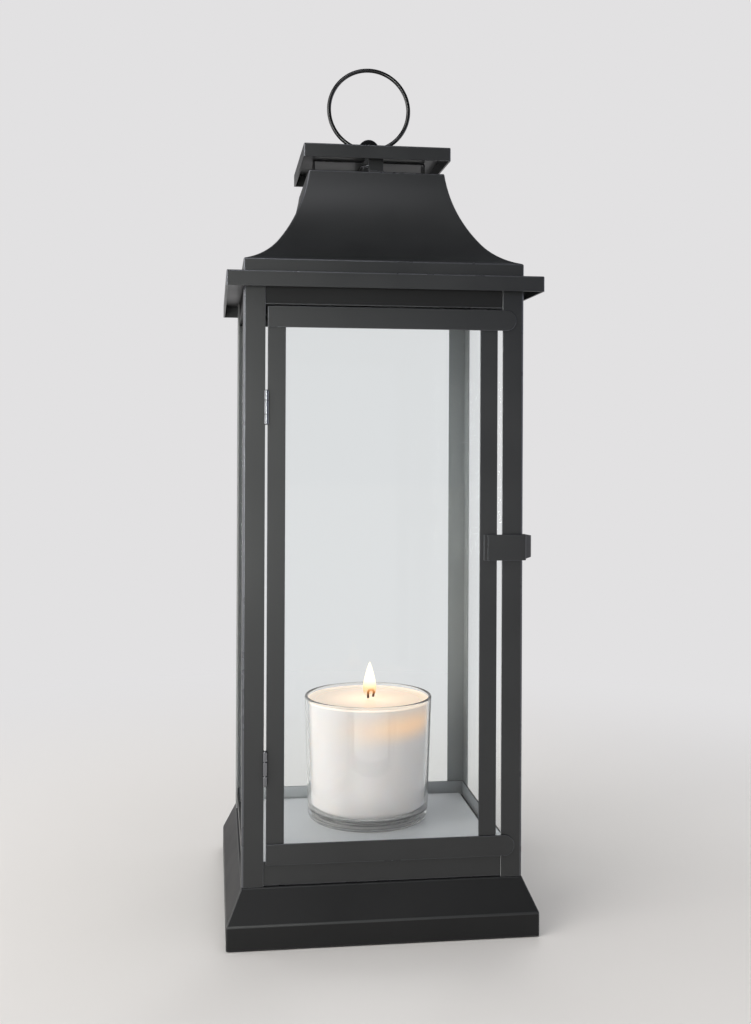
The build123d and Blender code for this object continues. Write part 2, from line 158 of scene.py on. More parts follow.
@dataclass(frozen=True)
class PowderCoat(Finish):
    """Mild steel sheet with an electrostatic powder coat, baked to a satin skin.

    The bake leaves a faint orange peel and slow drifts of gloss, which break up wide highlights.
    """

    deep: str = "#1c1d1e"
    light: str = "#28292a"
    roughness: Pair = (0.34, 0.44)
    peel_mm: float = 2.4
    peel_depth_mm: float = 0.012
    drift_mm: float = 55.0
    specular: float = 0.5

    def shader(self, tree: NodeTree) -> NodeSocket:
        """Build the coat's nodes and return the shader output."""
        place = add_node(tree, "TexCoord", out="Object")
        drift = add_node(tree, "TexNoise", {"Vector": place, "Scale": 1000 / self.drift_mm, "Detail": 3.0})
        # The real peel is about 0.8 mm across: it is drawn three times as coarse so that it shows
        peel = add_node(tree, "TexNoise", {"Vector": place, "Scale": 1000 / self.peel_mm, "Detail": 1.0})
        colour = add_node(tree, "Mix", {"data_type": "RGBA", 0: drift, 6: linear(self.deep),
                                        7: linear(self.light)}, 2)
        gloss = add_node(tree, "MapRange", {"Value": drift, "From Min": NOISE_LOW, "From Max": NOISE_HIGH,
                                            "To Min": self.roughness[0], "To Max": self.roughness[1]})
        bump = add_node(tree, "Bump", {"Height": peel, "Strength": 1.0, "Distance": self.peel_depth_mm * MM})
        return add_node(tree, "BsdfPrincipled", {"Base Color": colour, "Roughness": gloss, "Normal": bump,
                                                 "IOR": 1.5, "Specular IOR Level": self.specular})


@dataclass(frozen=True)
class EdgeHighlightCoat(Finish):
    """Coat on folds and cut edges: glossier where it bakes thin, and lighter and partly metallic to paint a
    highlight.

    It catches the lamps as a fine bright line along every fold.
    """

    colour: str = "#606165"
    metallic: float = 0.7
    roughness: Pair = (0.24, 0.36)
    wear_mm: float = 14.0

    def shader(self, tree: NodeTree) -> NodeSocket:
        """Build the thin coat's nodes and return the shader output."""
        place = add_node(tree, "TexCoord", out="Object")
        wear = add_node(tree, "TexNoise", {"Vector": place, "Scale": 1000 / self.wear_mm, "Detail": 3.0})
        rough = add_node(tree, "MapRange", {"Value": wear, "From Min": NOISE_LOW, "From Max": NOISE_HIGH,
                                            "To Min": self.roughness[0], "To Max": self.roughness[1]})
        return add_node(tree, "BsdfPrincipled", {"Base Color": linear(self.colour), "Metallic": self.metallic,
                                                 "Roughness": rough})


@dataclass(frozen=True)
class PlatedSteel(Finish):
    """Zinc-plated steel, drawn and rolled: bright, with fine lines along its length."""

    colour: str = "#8e8f92"
    dull: str = "#68696c"
    roughness: Pair = (0.12, 0.22)
    line_mm: float = 0.7
    run_mm: float = 12.0

    def shader(self, tree: NodeTree) -> NodeSocket:
        """Build the plating's nodes and return the shader output."""
        across, along = 1000 / self.line_mm, 1000 / self.run_mm
        place = add_node(tree, "TexCoord", out="Object")
        drawn = add_node(tree, "Mapping", {"Vector": place, "Scale": (across, across, along)})
        lines = add_node(tree, "TexNoise", {"Vector": drawn, "Scale": 1.0, "Detail": 2.0})
        colour = add_node(tree, "Mix", {"data_type": "RGBA", 0: lines, 6: linear(self.colour),
                                        7: linear(self.dull)}, 2)
        rough = add_node(tree, "MapRange", {"Value": lines, "From Min": NOISE_LOW, "From Max": NOISE_HIGH,
                                            "To Min": self.roughness[0], "To Max": self.roughness[1]})
        return add_node(tree, "BsdfPrincipled", {"Base Color": colour, "Roughness": rough, "Metallic": 1.0})


@dataclass(frozen=True)
class WindowGlass(Finish):
    """Float glass, 2 mm: flat and clear, with the faint bloom of handling on it."""

    tint: str = "#feffff"
    bloom: str = "#f4f5f6"
    bloom_share: Pair = (0.002, 0.006)
    bloom_through: float = 0.4
    smear_mm: float = 90.0
    smear_range: Pair = (0.35, 0.65)
    ior: float = 1.5
    least_mirror: float = 0.012
    slant_mirror: float = 0.45
    polish: float = 0.03

    def shader(self, tree: NodeTree) -> NodeSocket:
        """Build the pane's nodes and return the shader output."""
        place = add_node(tree, "TexCoord", out="Object")
        smear = add_node(tree, "TexNoise", {"Vector": place, "Scale": 1000 / self.smear_mm, "Detail": 4.0})
        haze = add_node(tree, "MapRange", {"Value": smear, "From Min": self.smear_range[0],
                                           "From Max": self.smear_range[1], "To Min": self.bloom_share[0],
                                           "To Max": self.bloom_share[1]})
        # Light passes the pane unbent, so its far face mirrors as the near one does: by the inverse index
        inside = add_node(tree, "NewGeometry", out="Backfacing")
        index = add_node(tree, "Mix", {"data_type": "FLOAT", 0: inside, 2: self.ior, 3: 1 / self.ior})
        fresnel = add_node(tree, "Fresnel", {"IOR": index})
        # Dust scatters most of what bare glass would mirror, least of all at a slant
        slant = add_node(tree, "Math", {"operation": "POWER", 0: fresnel, 1: 2.0})
        mirror = add_node(tree, "Math", {"operation": "MULTIPLY_ADD", 0: slant, 1: self.slant_mirror,
                                         2: self.least_mirror})
        clear = add_node(tree, "BsdfTransparent", {"Color": linear(self.tint)})
        near = add_node(tree, "BsdfDiffuse", {"Color": linear(self.bloom)})
        through = add_node(tree, "BsdfTranslucent", {"Color": linear(self.bloom)})
        film = add_node(tree, "MixShader", {0: self.bloom_through, 1: near, 2: through})
        shine = add_node(tree, "BsdfGlossy", {"Roughness": self.polish})
        body = add_node(tree, "MixShader", {0: haze, 1: clear, 2: film})
        return add_node(tree, "MixShader", {0: mirror, 1: body, 2: shine})


@dataclass(frozen=True)
class PressedGlass(Finish):
    """Soda-lime glass pressed in a mould: thick, clear and smooth, so that it bends what is behind it. A pale
    film painted on it, strongest at the base and laid in circles there, stands in for the light that the
    thick glass gathers and mirrors.
    """

    tint: str = "#fefefe"
    bloom: str = "#f1efec"
    bloom_share: Pair = (0.2, 0.9)
    bloom_through: float = 0.25
    heel_mm: Pair = (51.0, 47.0)
    ring_mm: float = 8.2
    ring_crest: Pair = (0.2, 0.9)
    ring_least: float = 0.3
    ior: float = 1.5
    mirror: float = 0.04

    def shader(self, tree: NodeTree) -> NodeSocket:
        """Build the jar's nodes and return the shader output."""
        place = add_node(tree, "TexCoord", out="Object")
        height = add_node(tree, "SeparateXYZ", {0: place}, "Z")
        # Painted light: a pale film, strongest low on the jar, makes the thick base look bright
        heel = add_node(tree, "MapRange", {**SMOOTH, "Value": height, "From Min": self.heel_mm[0] * MM,
                                           "From Max": self.heel_mm[1] * MM, "To Min": self.bloom_share[0],
                                           "To Max": self.bloom_share[1]})
        # Painted reflection: the film comes in circles round the axis, which show as bright arcs through the
        # clear side
        local = add_node(tree, "Mapping", {"Vector": place, "Scale": (1.0, 1.0, 0.0),
                                           "Location": (-CANDLE_AXIS[0] * MM, -CANDLE_AXIS[1] * MM, 0.0)})
        radius = add_node(tree, "VectorMath", {"operation": "LENGTH", 0: local}, "Value")
        turns = add_node(tree, "Math", {"operation": "MULTIPLY", 0: radius, 1: tau / (self.ring_mm * MM)})
        wave = add_node(tree, "Math", {"operation": "SINE", 0: turns})
        painted_arcs = add_node(tree, "MapRange", {**SMOOTH, "Value": wave, "From Min": self.ring_crest[0],
                                            "From Max": self.ring_crest[1], "To Min": self.ring_least})
        haze = add_node(tree, "Math", {"operation": "MULTIPLY", 0: heel, 1: painted_arcs})
        glass = add_node(tree, "BsdfPrincipled", {"Base Color": linear(self.tint), "Roughness": 0.0,
                                                  "IOR": self.ior, "Specular IOR Level": self.mirror,
                                                  "Transmission Weight": 1.0})
        near = add_node(tree, "BsdfDiffuse", {"Color": linear(self.bloom)})
        through = add_node(tree, "BsdfTranslucent", {"Color": linear(self.bloom)})
        film = add_node(tree, "MixShader", {0: self.bloom_through, 1: near, 2: through})
        body = add_node(tree, "MixShader", {0: haze, 1: glass, 2: film})
        clear = add_node(tree, "BsdfTransparent", {"Color": linear(self.tint)})
        lamp = add_node(tree, "LightPath", out="Is Shadow Ray")
        return add_node(tree, "MixShader", {0: lamp, 1: body, 2: clear})


@dataclass(frozen=True)
class PouredWax(Finish):
    """Paraffin wax poured in the jar: milky, and glossy where it is melted; the flame's light is painted on
    as an amber tint and a glow near the top.
    """

    cool: str = "#e3dddb"
    painted_flame_tint: str = "#f5d8b4"
    flank_glow: str = "#ffbd80"
    pool_glow: str = "#ffdfb6"
    flank_strength: float = 0.34
    pool_strength: float = 0.8
    pool_rim_share: float = 0.5
    top_mm: float = 133.0
    skin_mm: Pair = (-1.0, -0.55)
    pool_mm: float = 43.0
    pool_edge: float = 0.9
    side_mm: Pair = (-40.0, 36.0)
    under_mm: Pair = (-31.0, -13.0)
    over_mm: Pair = (4.0, -17.0)
    glow_tilt: float = 0.06
    mirror: Pair = (0.06, 0.5)
    roughness: Pair = (0.14, 0.42)
    milk: float = 0.7
    milk_depth: Point = (1.0, 0.8, 0.65)
    milk_mm: float = 6.0

    def shader(self, tree: NodeTree) -> NodeSocket:
        """Build the wax's nodes and return the shader output."""
        place = add_node(tree, "TexCoord", out="Object")
        centre = (-CANDLE_AXIS[0] * MM, -CANDLE_AXIS[1] * MM, -self.top_mm * MM)
        local = add_node(tree, "Mapping", {"Vector": place, "Location": centre})
        parts = add_node(tree, "SeparateXYZ", {0: local}).node.outputs
        # Painted light: an amber tint and a glow in a band below the top, rising towards the right flank,
        # stand in for the flame's light through the wax
        side = add_node(tree, "MapRange", {**SMOOTH, "Value": parts["X"], "From Min": self.side_mm[0] * MM,
                                           "From Max": self.side_mm[1] * MM})
        depth = add_node(tree, "Math", {"operation": "MULTIPLY_ADD", 0: parts["X"], 1: -self.glow_tilt,
                                        2: parts["Z"]})
        under = add_node(tree, "MapRange", {**SMOOTH, "Value": depth, "From Min": self.under_mm[0] * MM,
                                            "From Max": self.under_mm[1] * MM})
        over = add_node(tree, "MapRange", {**SMOOTH, "Value": depth, "From Min": self.over_mm[0] * MM,
                                           "From Max": self.over_mm[1] * MM})
        band = add_node(tree, "Math", {"operation": "MULTIPLY", 0: under, 1: over})
        painted_flame_light = add_node(tree, "Math", {"operation": "MULTIPLY", 0: band, 1: side})
        colour = add_node(tree, "Mix", {"data_type": "RGBA", 0: painted_flame_light, 6: linear(self.cool),
                                        7: linear(self.painted_flame_tint)}, 2)
        # Painted light: the wax glows by emission on that band and on the melted top, standing in for the
        # flame's light
        flank = add_node(tree, "Math", {"operation": "MULTIPLY", 0: painted_flame_light, 1: self.flank_strength})
        flat = add_node(tree, "CombineXYZ", {0: parts["X"], 1: parts["Y"]})
        reach = add_node(tree, "VectorMath", {"operation": "LENGTH", 0: flat}, "Value")
        spread = add_node(tree, "MapRange", {**SMOOTH, "Value": reach, "From Min": 0.0,
                                             "From Max": self.pool_mm * MM, "To Min": self.pool_strength,
                                             "To Max": self.pool_rim_share * self.pool_strength})
        top = add_node(tree, "MapRange", {**SMOOTH, "Value": parts["Z"], "From Min": self.skin_mm[0] * MM,
                                          "From Max": self.skin_mm[1] * MM})
        pool = add_node(tree, "Math", {"operation": "MULTIPLY", 0: spread, 1: top})
        glow = add_node(tree, "Math", {"operation": "ADD", 0: flank, 1: pool})
        tone = add_node(tree, "Mix", {"data_type": "RGBA", 0: top, 6: linear(self.flank_glow),
                                      7: linear(self.pool_glow)}, 2)
        # Where the wax touches the glass it hardly mirrors at all
        mirror = add_node(tree, "MapRange", {"Value": top, "To Min": self.mirror[0],
                                             "To Max": self.mirror[1]})
        rough = add_node(tree, "MapRange", {"Value": reach, "From Min": self.pool_mm * MM * self.pool_edge,
                                            "From Max": self.pool_mm * MM, "To Min": self.roughness[0],
                                            "To Max": self.roughness[1]})
        return add_node(tree, "BsdfPrincipled", {"Base Color": colour, "Roughness": rough, "IOR": 1.44,
                                                 "Specular IOR Level": mirror, "Subsurface Weight": self.milk,
                                                 "Subsurface Radius": self.milk_depth,
                                                 "Subsurface Scale": self.milk_mm * MM,
                                                 "Emission Color": tone, "Emission Strength": glow})


@dataclass(frozen=True)
class CharredCotton(Finish):
    """Braided cotton, burnt at its tip: dark brown and dull, pale where the flame hasn't reached."""

    char: str = "#140c09"
    ash: str = "#33241d"
    strand_mm: float = 0.6
    strand_depth_mm: float = 0.2

    def shader(self, tree: NodeTree) -> NodeSocket:
        """Build the wick's nodes and return the shader output."""
        place = add_node(tree, "TexCoord", out="Object")
        strands = add_node(tree, "TexNoise", {"Vector": place, "Scale": 1000 / self.strand_mm, "Detail": 2.0})
        colour = add_node(tree, "Mix", {"data_type": "RGBA", 0: strands, 6: linear(self.char),
                                        7: linear(self.ash)}, 2)
        bump = add_node(tree, "Bump", {"Height": strands, "Strength": 1.0,
                                       "Distance": self.strand_depth_mm * MM})
        return add_node(tree, "BsdfPrincipled", {"Base Color": colour, "Normal": bump, "Roughness": 0.9})


@dataclass(frozen=True)
class CandleFlame(Finish):
    """Burning wax vapour: a clear foot, an amber shoulder and a white-hot body."""

    amber: str = "#ff9c2e"
    white: str = "#fff1d6"
    foot_mm: float = 133.5
    height_mm: float = 28.0
    strength: float = 1.7
    amber_rise: Pair = (0.15, 0.5)
    solid_rise: Pair = (0.1, 0.36)
    solidity: Pair = (0.05, 0.95)

    def shader(self, tree: NodeTree) -> NodeSocket:
        """Build the flame's nodes and return the shader output."""
        place = add_node(tree, "TexCoord", out="Object")
        height = add_node(tree, "SeparateXYZ", {0: place}, "Z")
        foot, rise = self.foot_mm * MM, self.height_mm * MM
        hot = add_node(tree, "MapRange", {"Value": height, "From Min": foot + self.amber_rise[0] * rise,
                                          "From Max": foot + self.amber_rise[1] * rise})
        colour = add_node(tree, "Mix", {"data_type": "RGBA", 0: hot, 6: linear(self.amber),
                                        7: linear(self.white)}, 2)
        solid = add_node(tree, "MapRange", {"Value": height, "From Min": foot + self.solid_rise[0] * rise,
                                            "From Max": foot + self.solid_rise[1] * rise,
                                            "To Min": self.solidity[0], "To Max": self.solidity[1]})
        fire = add_node(tree, "Emission", {"Color": colour, "Strength": self.strength})
        clear = add_node(tree, "BsdfTransparent")
        return add_node(tree, "MixShader", {0: solid, 1: clear, 2: fire})


BLACK_COAT = PowderCoat("satin_black_powder_coat_on_steel", Slot.BLACK)
# Painted shade: a darker, rougher copy of the black coat for the plinth and for the header under the cornice
# lip
PAINTED_SHADE_COAT = PowderCoat("black_powder_coat_darkened_for_painted_shade", Slot.BLACK, deep="#101011", light="#181819",
                         roughness=(0.46, 0.56), specular=0.3)
GLOSS_COAT = PowderCoat("gloss_black_enamel_on_wire_and_ball", Slot.BLACK, deep="#0d0d0e", light="#131314",
                        roughness=(0.14, 0.2), peel_mm=6.0, peel_depth_mm=0.002)
GREY_COAT = PowderCoat("satin_grey_powder_coat_on_steel", Slot.GREY, deep="#d2d3d5", light="#dbdcde",
                       roughness=(0.3, 0.42))
# Painted veil: light grey for the posts' inward faces, seen through the glass, in place of the glass's veil
# of light
PAINTED_VEIL_COAT = PowderCoat("light_grey_painted_veil_on_post_insides", Slot.BLACK, deep="#a4a6a5", light="#b0b2b1",
                        roughness=(0.4, 0.5))
# Painted highlight: folds and cut edges of the black coats take this lighter, partly metallic coat
EDGE_HIGHLIGHT_COAT = EdgeHighlightCoat("powder_coat_lightened_at_folds_for_painted_highlight", Slot.BLACK)
BARE_STEEL = PlatedSteel("zinc_plated_rolled_steel", Slot.STEEL)
PANE_GLASS = WindowGlass("float_glass_2_mm", Slot.GLASS)
JAR_GLASS = PressedGlass("pressed_soda_lime_glass", Slot.GLASS)
WAX = PouredWax("poured_paraffin_wax", Slot.WAX)
COTTON = CharredCotton("charred_braided_cotton", Slot.WICK)
FLAME = CandleFlame("burning_wax_vapour", Slot.WAX)


def only(kind: type, geometry: Iterable) -> list:
    """Pick the elements of one kind from an operator's result."""
    return [g for g in geometry if isinstance(g, kind)]


class Shape:
    """A mesh in the making, in millimetres, shaped by bmesh operators."""

    def __init__(self) -> None:
        """Start with an empty mesh."""
        self.bm = bmesh.new()

    def bevel(self, geometry: list, width: float, segments: int, affect: str, material: int = -1) -> None:
        """Bevel corners ("VERTICES") or edges ("EDGES").

        Args:
            geometry: What is beveled.
            width: Distance that the bevel takes back.
            segments: Steps across it.
            affect: Which kind is beveled.
            material: Slot of the new faces, or -1 for that of their neighbours.
        """
        bmesh.ops.bevel(self.bm, geom=geometry, offset=width, offset_type="OFFSET", segments=segments,
                        profile=0.5, affect=affect, clamp_overlap=affect == "EDGES", material=material)

    def spin(self, geometry: list, centre: Sequence[float], axis: Point, angle: float, steps: int,
             merge: bool = False) -> list:
        """Extrude geometry round an axis.

        Args:
            geometry: What is swept.
            centre: A point on the axis.
            axis: Direction of the axis.
            angle: Turn in radians.
            steps: Steps of the turn.
            merge: Whether the last step joins the first.

        Returns:
            The geometry at the end of the turn.
        """
        made = bmesh.ops.spin(self.bm, geom=geometry, cent=centre, axis=axis, dvec=(0, 0, 0), angle=angle,
                              steps=steps, use_merge=merge, use_duplicate=False, use_normal_flip=False)
        return made["geom_last"]

    def push(self, faces: list[BMFace], along: Sequence[float]) -> list:
        """Extrude faces along a vector and return the new geometry."""
        made = bmesh.ops.extrude_face_region(self.bm, geom=faces)["geom"]
        bmesh.ops.translate(self.bm, vec=along, verts=only(BMVert, made))
        return made

    def wire(self, points: Sequence[Point], radii: Sequence[float] = (), closed: bool = False,
             segments: int = 4) -> "Shape":
        """Add a chain of edges, its inner corners rounded.

        Args:
            points: The chain's corners.
            radii: Corner radii, one for each corner that isn't an end, or for every corner if closed.
            closed: Whether the last corner joins the first.
            segments: Edges in each rounded corner.

        Returns:
            This shape.
        """
        verts = [self.bm.verts.new(p) for p in points]
        chain = verts + verts[:1] if closed else verts
        for start, end in zip(chain, chain[1:]):
            self.bm.edges.new((start, end))
        corners = verts if closed else verts[1:-1]
        for corner, radius in list(zip(corners, radii)):
            if radius > 0:
                sides = [(e.other_vert(corner).co - corner.co).normalized() for e in corner.link_edges]
                turn = pi - sides[0].angle(sides[1])
                self.bevel([corner], radius * tan(turn / 2), segments, "VERTICES")
        return self

    def soften(self, width: float, segments: int = 2, over: float = 50.0,
               where: Callable[[BMEdge], bool] | None = None) -> "Shape":
        """Bevel the sharp edges.

        Args:
            width: Bevel width. The bevel's faces take the piece's second finish, if it has one.
            segments: Faces across the bevel.
            over: Least angle between an edge's faces, in degrees.
            where: Test that an edge has to pass, if any.

        Returns:
            This shape.
        """
        sharp = [e for e in self.bm.edges if len(e.link_faces) == 2 and e.calc_face_angle(0) > radians(over)]
        self.bevel([e for e in sharp if where is None or where(e)], width, segments, "EDGES", 1)
        return self

    def sweep(self, along: Point) -> "Shape":
        """Extrude the whole chain of edges along a vector."""
        made = bmesh.ops.extrude_edge_only(self.bm, edges=self.bm.edges[:])["geom"]
        bmesh.ops.translate(self.bm, vec=along, verts=only(BMVert, made))
        return self

    def turn_round(self, steps: int, axis: Point = (0, 0, 1), centre: Point = (0, 0, 0)) -> "Shape":
        """Spin the whole mesh once round an axis and close it."""
        self.spin(self.bm.verts[:] + self.bm.edges[:], centre, axis, tau, steps, merge=True)
        bmesh.ops.remove_doubles(self.bm, verts=self.bm.verts[:], dist=1e-4)
        bmesh.ops.recalc_face_normals(self.bm, faces=self.bm.faces[:])
        return self

    def face_away(self, centre: Point) -> "Shape":
        """Point an open sheet's normals away from a point."""
        bmesh.ops.recalc_face_normals(self.bm, faces=self.bm.faces[:])
        self.bm.normal_update()
        middle = Vector(centre)
        outward = sum(f.normal.dot(f.calc_center_median() - middle) * f.calc_area() for f in self.bm.faces)
        if outward < 0:
            bmesh.ops.reverse_faces(self.bm, faces=self.bm.faces[:])
        return self

    def thicken(self, thickness: float) -> "Shape":
        """Give an open sheet its wall, to the side that its normals point away from."""
        bmesh.ops.solidify(self.bm, geom=self.bm.faces[:], thickness=thickness)
        bmesh.ops.recalc_face_normals(self.bm, faces=self.bm.faces[:])
        return self

    def box(self, low: Point, high: Point) -> "Shape":
        """Add a rectangular block between two corners."""
        middle = [(a + b) / 2 for a, b in zip(low, high)]
        size = [b - a for a, b in zip(low, high)]
        matrix = Matrix.Translation(middle) @ Matrix.Diagonal((*size, 1))
        bmesh.ops.create_cube(self.bm, size=1, matrix=matrix)
        return self

    def transform(self, matrix: Matrix) -> "Shape":
        """Move, turn or mirror the whole mesh."""
        bmesh.ops.transform(self.bm, matrix=matrix, verts=self.bm.verts[:])
        if matrix.determinant() < 0:
            bmesh.ops.reverse_faces(self.bm, faces=self.bm.faces[:])
        return self

    def turn(self, angle: float) -> "Shape":
        """Turn the whole mesh about the upright axis through the origin, by degrees."""
        return self.transform(Matrix.Rotation(radians(angle), 4, "Z"))

    def move(self, x: float = 0.0, y: float = 0.0, z: float = 0.0) -> "Shape":
        """Move the whole mesh."""
        return self.transform(Matrix.Translation((x, y, z)))

    def join(self, other: "Shape") -> "Shape":
        """Take another shape's mesh into this one."""
        carrier = bpy.data.meshes.new("carrier")
        other.bm.to_mesh(carrier)
        other.bm.free()
        self.bm.from_mesh(carrier)
        bpy.data.meshes.remove(carrier)
        return self

    def line_fold(self, beyond: float) -> "Shape":
        """Give the outside of the front left upright fold the piece's second finish.

        Args:
            beyond: Distance to the left and to the front past which a face belongs to the fold.

        Returns:
            This shape.
        """
        for face in self.bm.faces:
            middle = face.calc_center_median()
            if -middle.x > beyond and -middle.y > beyond:
                face.material_index = 1
        return self

    def line_inside(self, above: float) -> "Shape":
        """Give upright faces that look towards the lantern's middle the piece's third finish.

        Args:
            above: Height under which faces keep their finish.

        Returns:
            This shape.
        """
        self.bm.normal_update()
        for face in self.bm.faces:
            middle = face.calc_center_median()
            inwards = Vector((-middle.x, -middle.y, 0)).normalized()
            if middle.z > above and abs(face.normal.z) < 0.5 and face.normal.dot(inwards) > 0.3:
                face.material_index = 2
        return self

    def finish(self, name: str, finish: Finish, body: Body, replaces: Sequence[str] | None = None,
               smooth_under: float = 40.0, edge_finish: Finish | None = None,
               inner_finish: Finish | None = None) -> bpy.types.Object:
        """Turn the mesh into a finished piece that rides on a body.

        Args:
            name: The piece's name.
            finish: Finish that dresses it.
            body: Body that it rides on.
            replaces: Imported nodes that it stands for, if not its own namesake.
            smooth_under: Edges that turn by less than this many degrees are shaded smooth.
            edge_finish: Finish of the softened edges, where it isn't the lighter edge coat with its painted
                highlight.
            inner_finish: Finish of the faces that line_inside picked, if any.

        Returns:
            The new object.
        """
        if edge_finish is None:
            edge_finish = EDGE_HIGHLIGHT_COAT if finish in (BLACK_COAT, PAINTED_SHADE_COAT) else finish
        bmesh.ops.dissolve_degenerate(self.bm, dist=1e-3, edges=self.bm.edges[:])
        for face in self.bm.faces:
            face.smooth = True
        for edge in self.bm.edges:
            edge.smooth = edge.calc_face_angle(0) < radians(smooth_under)
        bmesh.ops.scale(self.bm, vec=(MM, MM, MM), verts=self.bm.verts[:])
        mesh = bpy.data.meshes.new(name)
        self.bm.to_mesh(mesh)
        self.bm.free()
        piece = new_object(name, mesh)
        for dress in filter(None, (finish, edge_finish, inner_finish)):
            mesh.materials.append(dress.material())
        shading = piece.modifiers.new("even_flats", "WEIGHTED_NORMAL")
        shading.keep_sharp = True
        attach(piece, body.value)
        nodes = [name] if replaces is None else replaces
        if nodes:
            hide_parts(*nodes)
        LOG.info("%s: %d faces on %s", name, len(mesh.polygons), body.value)
        return piece


def square_shell(profile: Sequence[Pair], above: float, arcs: Callable[[Shape], None] | None = None) -> Shape:
    """Folded sheet that runs round a square, its corners welded and ground round.

    Args:
        profile: Distance outwards and height of each fold.
        above: Height of the point that the outer face looks away from.
        arcs: Adds curved runs to the chain of edges, if any.

    Returns:
        The closed shell.
    """
    shell = Shape().wire([(0, -u, z) for u, z in profile])
    if arcs is not None:
        arcs(shell)
    # The shear carries the profile from a side's middle to its corner, so that four steps make the square
    shell.transform(Matrix(((1, 1, 0, 0), (0, 1, 0, 0), (0, 0, 1, 0), (0, 0, 0, 1))))
    shell.turn_round(4).face_away((0, 0, above)).soften(FOLD, segments=4, over=12)
    return shell.thicken(SHEET).soften(CUT)


def four_of(kind: str) -> list[str]:
    """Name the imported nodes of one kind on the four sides."""
    return [f"{kind}_{side}" for side in SIDES]


@dataclass
class Plinth:
    """Folded and mitred base of the lantern."""

    half: float = 105.0
    foot: float = 8.0
    skirt: float = 15.9
    top: float = 37.8
    top_half: float = 95.0
    ledge: float = 20.0

    def build(self) -> None:
        """Make the four sides as one welded shell."""
        profile = [(self.half - self.foot, 0), (self.half, 0), (self.half, self.skirt),
                   (self.top_half, self.top), (self.top_half - self.ledge, self.top)]
        # Painted shade: the plinth takes the darker coat
        square_shell(profile, self.skirt).finish("plinth_shell", PAINTED_SHADE_COAT, Body.CASE, four_of("plinth"),
                                                 edge_finish=BLACK_COAT)


@dataclass
class Posts:
    """Four folded angle posts with the sills and headers behind them."""

    half: float = Plinth.top_half
    leg: float = 14.6
    bottom: float = Plinth.top
    top: float = 443.8
    fold: float = 1.4
    sill_top: float = 50.2
    sill_flange: float = 10.0
    door_stop: float = 3.9
    header_bottom: float = 424.4
    side_trim: float = 2.1
    strip_lap: float = 0.5
    strip_inset: float = 0.03

    def front_strip(self, low: float, high: float) -> Shape:
        """Cut the flat strip by which the front's sill or header is taller than the others."""
        reach = self.half - 2 * SHEET
        front, back = reach + SHEET - self.strip_inset, reach + self.strip_inset
        return Shape().box((-reach, -front, low), (reach, -back, high)).soften(CUT)

    def build(self) -> None:
        """Make the posts, the sill frame and the header frame."""
        edge = self.half - self.leg
        for corner, angle in CORNERS.items():
            post = Shape().wire([(-edge, -self.half, self.bottom), (-self.half, -self.half, self.bottom),
                                 (-self.half, -edge, self.bottom)], [self.fold], segments=6)
            post.sweep((0, 0, self.top - self.bottom)).face_away((0, 0, self.bottom)).thicken(SHEET)
            # Painted highlight: the outer fold takes the lighter edge coat. Painted veil: the faces that look
            # inwards take a light grey coat, which stands in for the veil of light that the glass lays over
            # them.
            post.line_fold(self.half - self.fold).soften(CUT).line_inside(self.bottom).turn(angle)
            post.finish(f"post_{corner}", BLACK_COAT, Body.CASE, inner_finish=PAINTED_VEIL_COAT)
        rail = self.half - SHEET
        flange = rail - SHEET - self.sill_flange
        sill = square_shell([(flange, self.bottom), (rail, self.bottom), (rail, self.sill_top)],
                            self.sill_top)
        sill.join(self.front_strip(self.sill_top - self.strip_lap, self.sill_top + self.door_stop))
        # The floor's grey coat runs up the sills' inner faces, which show through the glass
        sill.line_inside(self.bottom + 2 * SHEET)
        sill.finish("sill_frame", BLACK_COAT, Body.CASE, four_of("sill"), inner_finish=GREY_COAT)
        side_bottom = self.header_bottom + self.side_trim
        header = square_shell([(rail, side_bottom), (rail, self.top)], side_bottom)
        header.join(self.front_strip(self.header_bottom, side_bottom + self.strip_lap))
        # Painted shade: the header takes the darker coat, for the shade under the cornice lip
        header.finish("header_frame", PAINTED_SHADE_COAT, Body.CASE, four_of("header"))


@dataclass
class Cornice:
    """Folded lip that hangs over the heads of the posts."""

    half: float = 106.4
    bottom: float = 434.7
    top: float = Posts.top + SHEET
    inner: float = 80.0

    def build(self) -> None:
        """Make the four sides as one welded shell."""
        profile = [(self.half, self.bottom), (self.half, self.top), (self.inner, self.top)]
        square_shell(profile, self.bottom).finish("cornice_shell", BLACK_COAT, Body.CASE, four_of("cornice"))


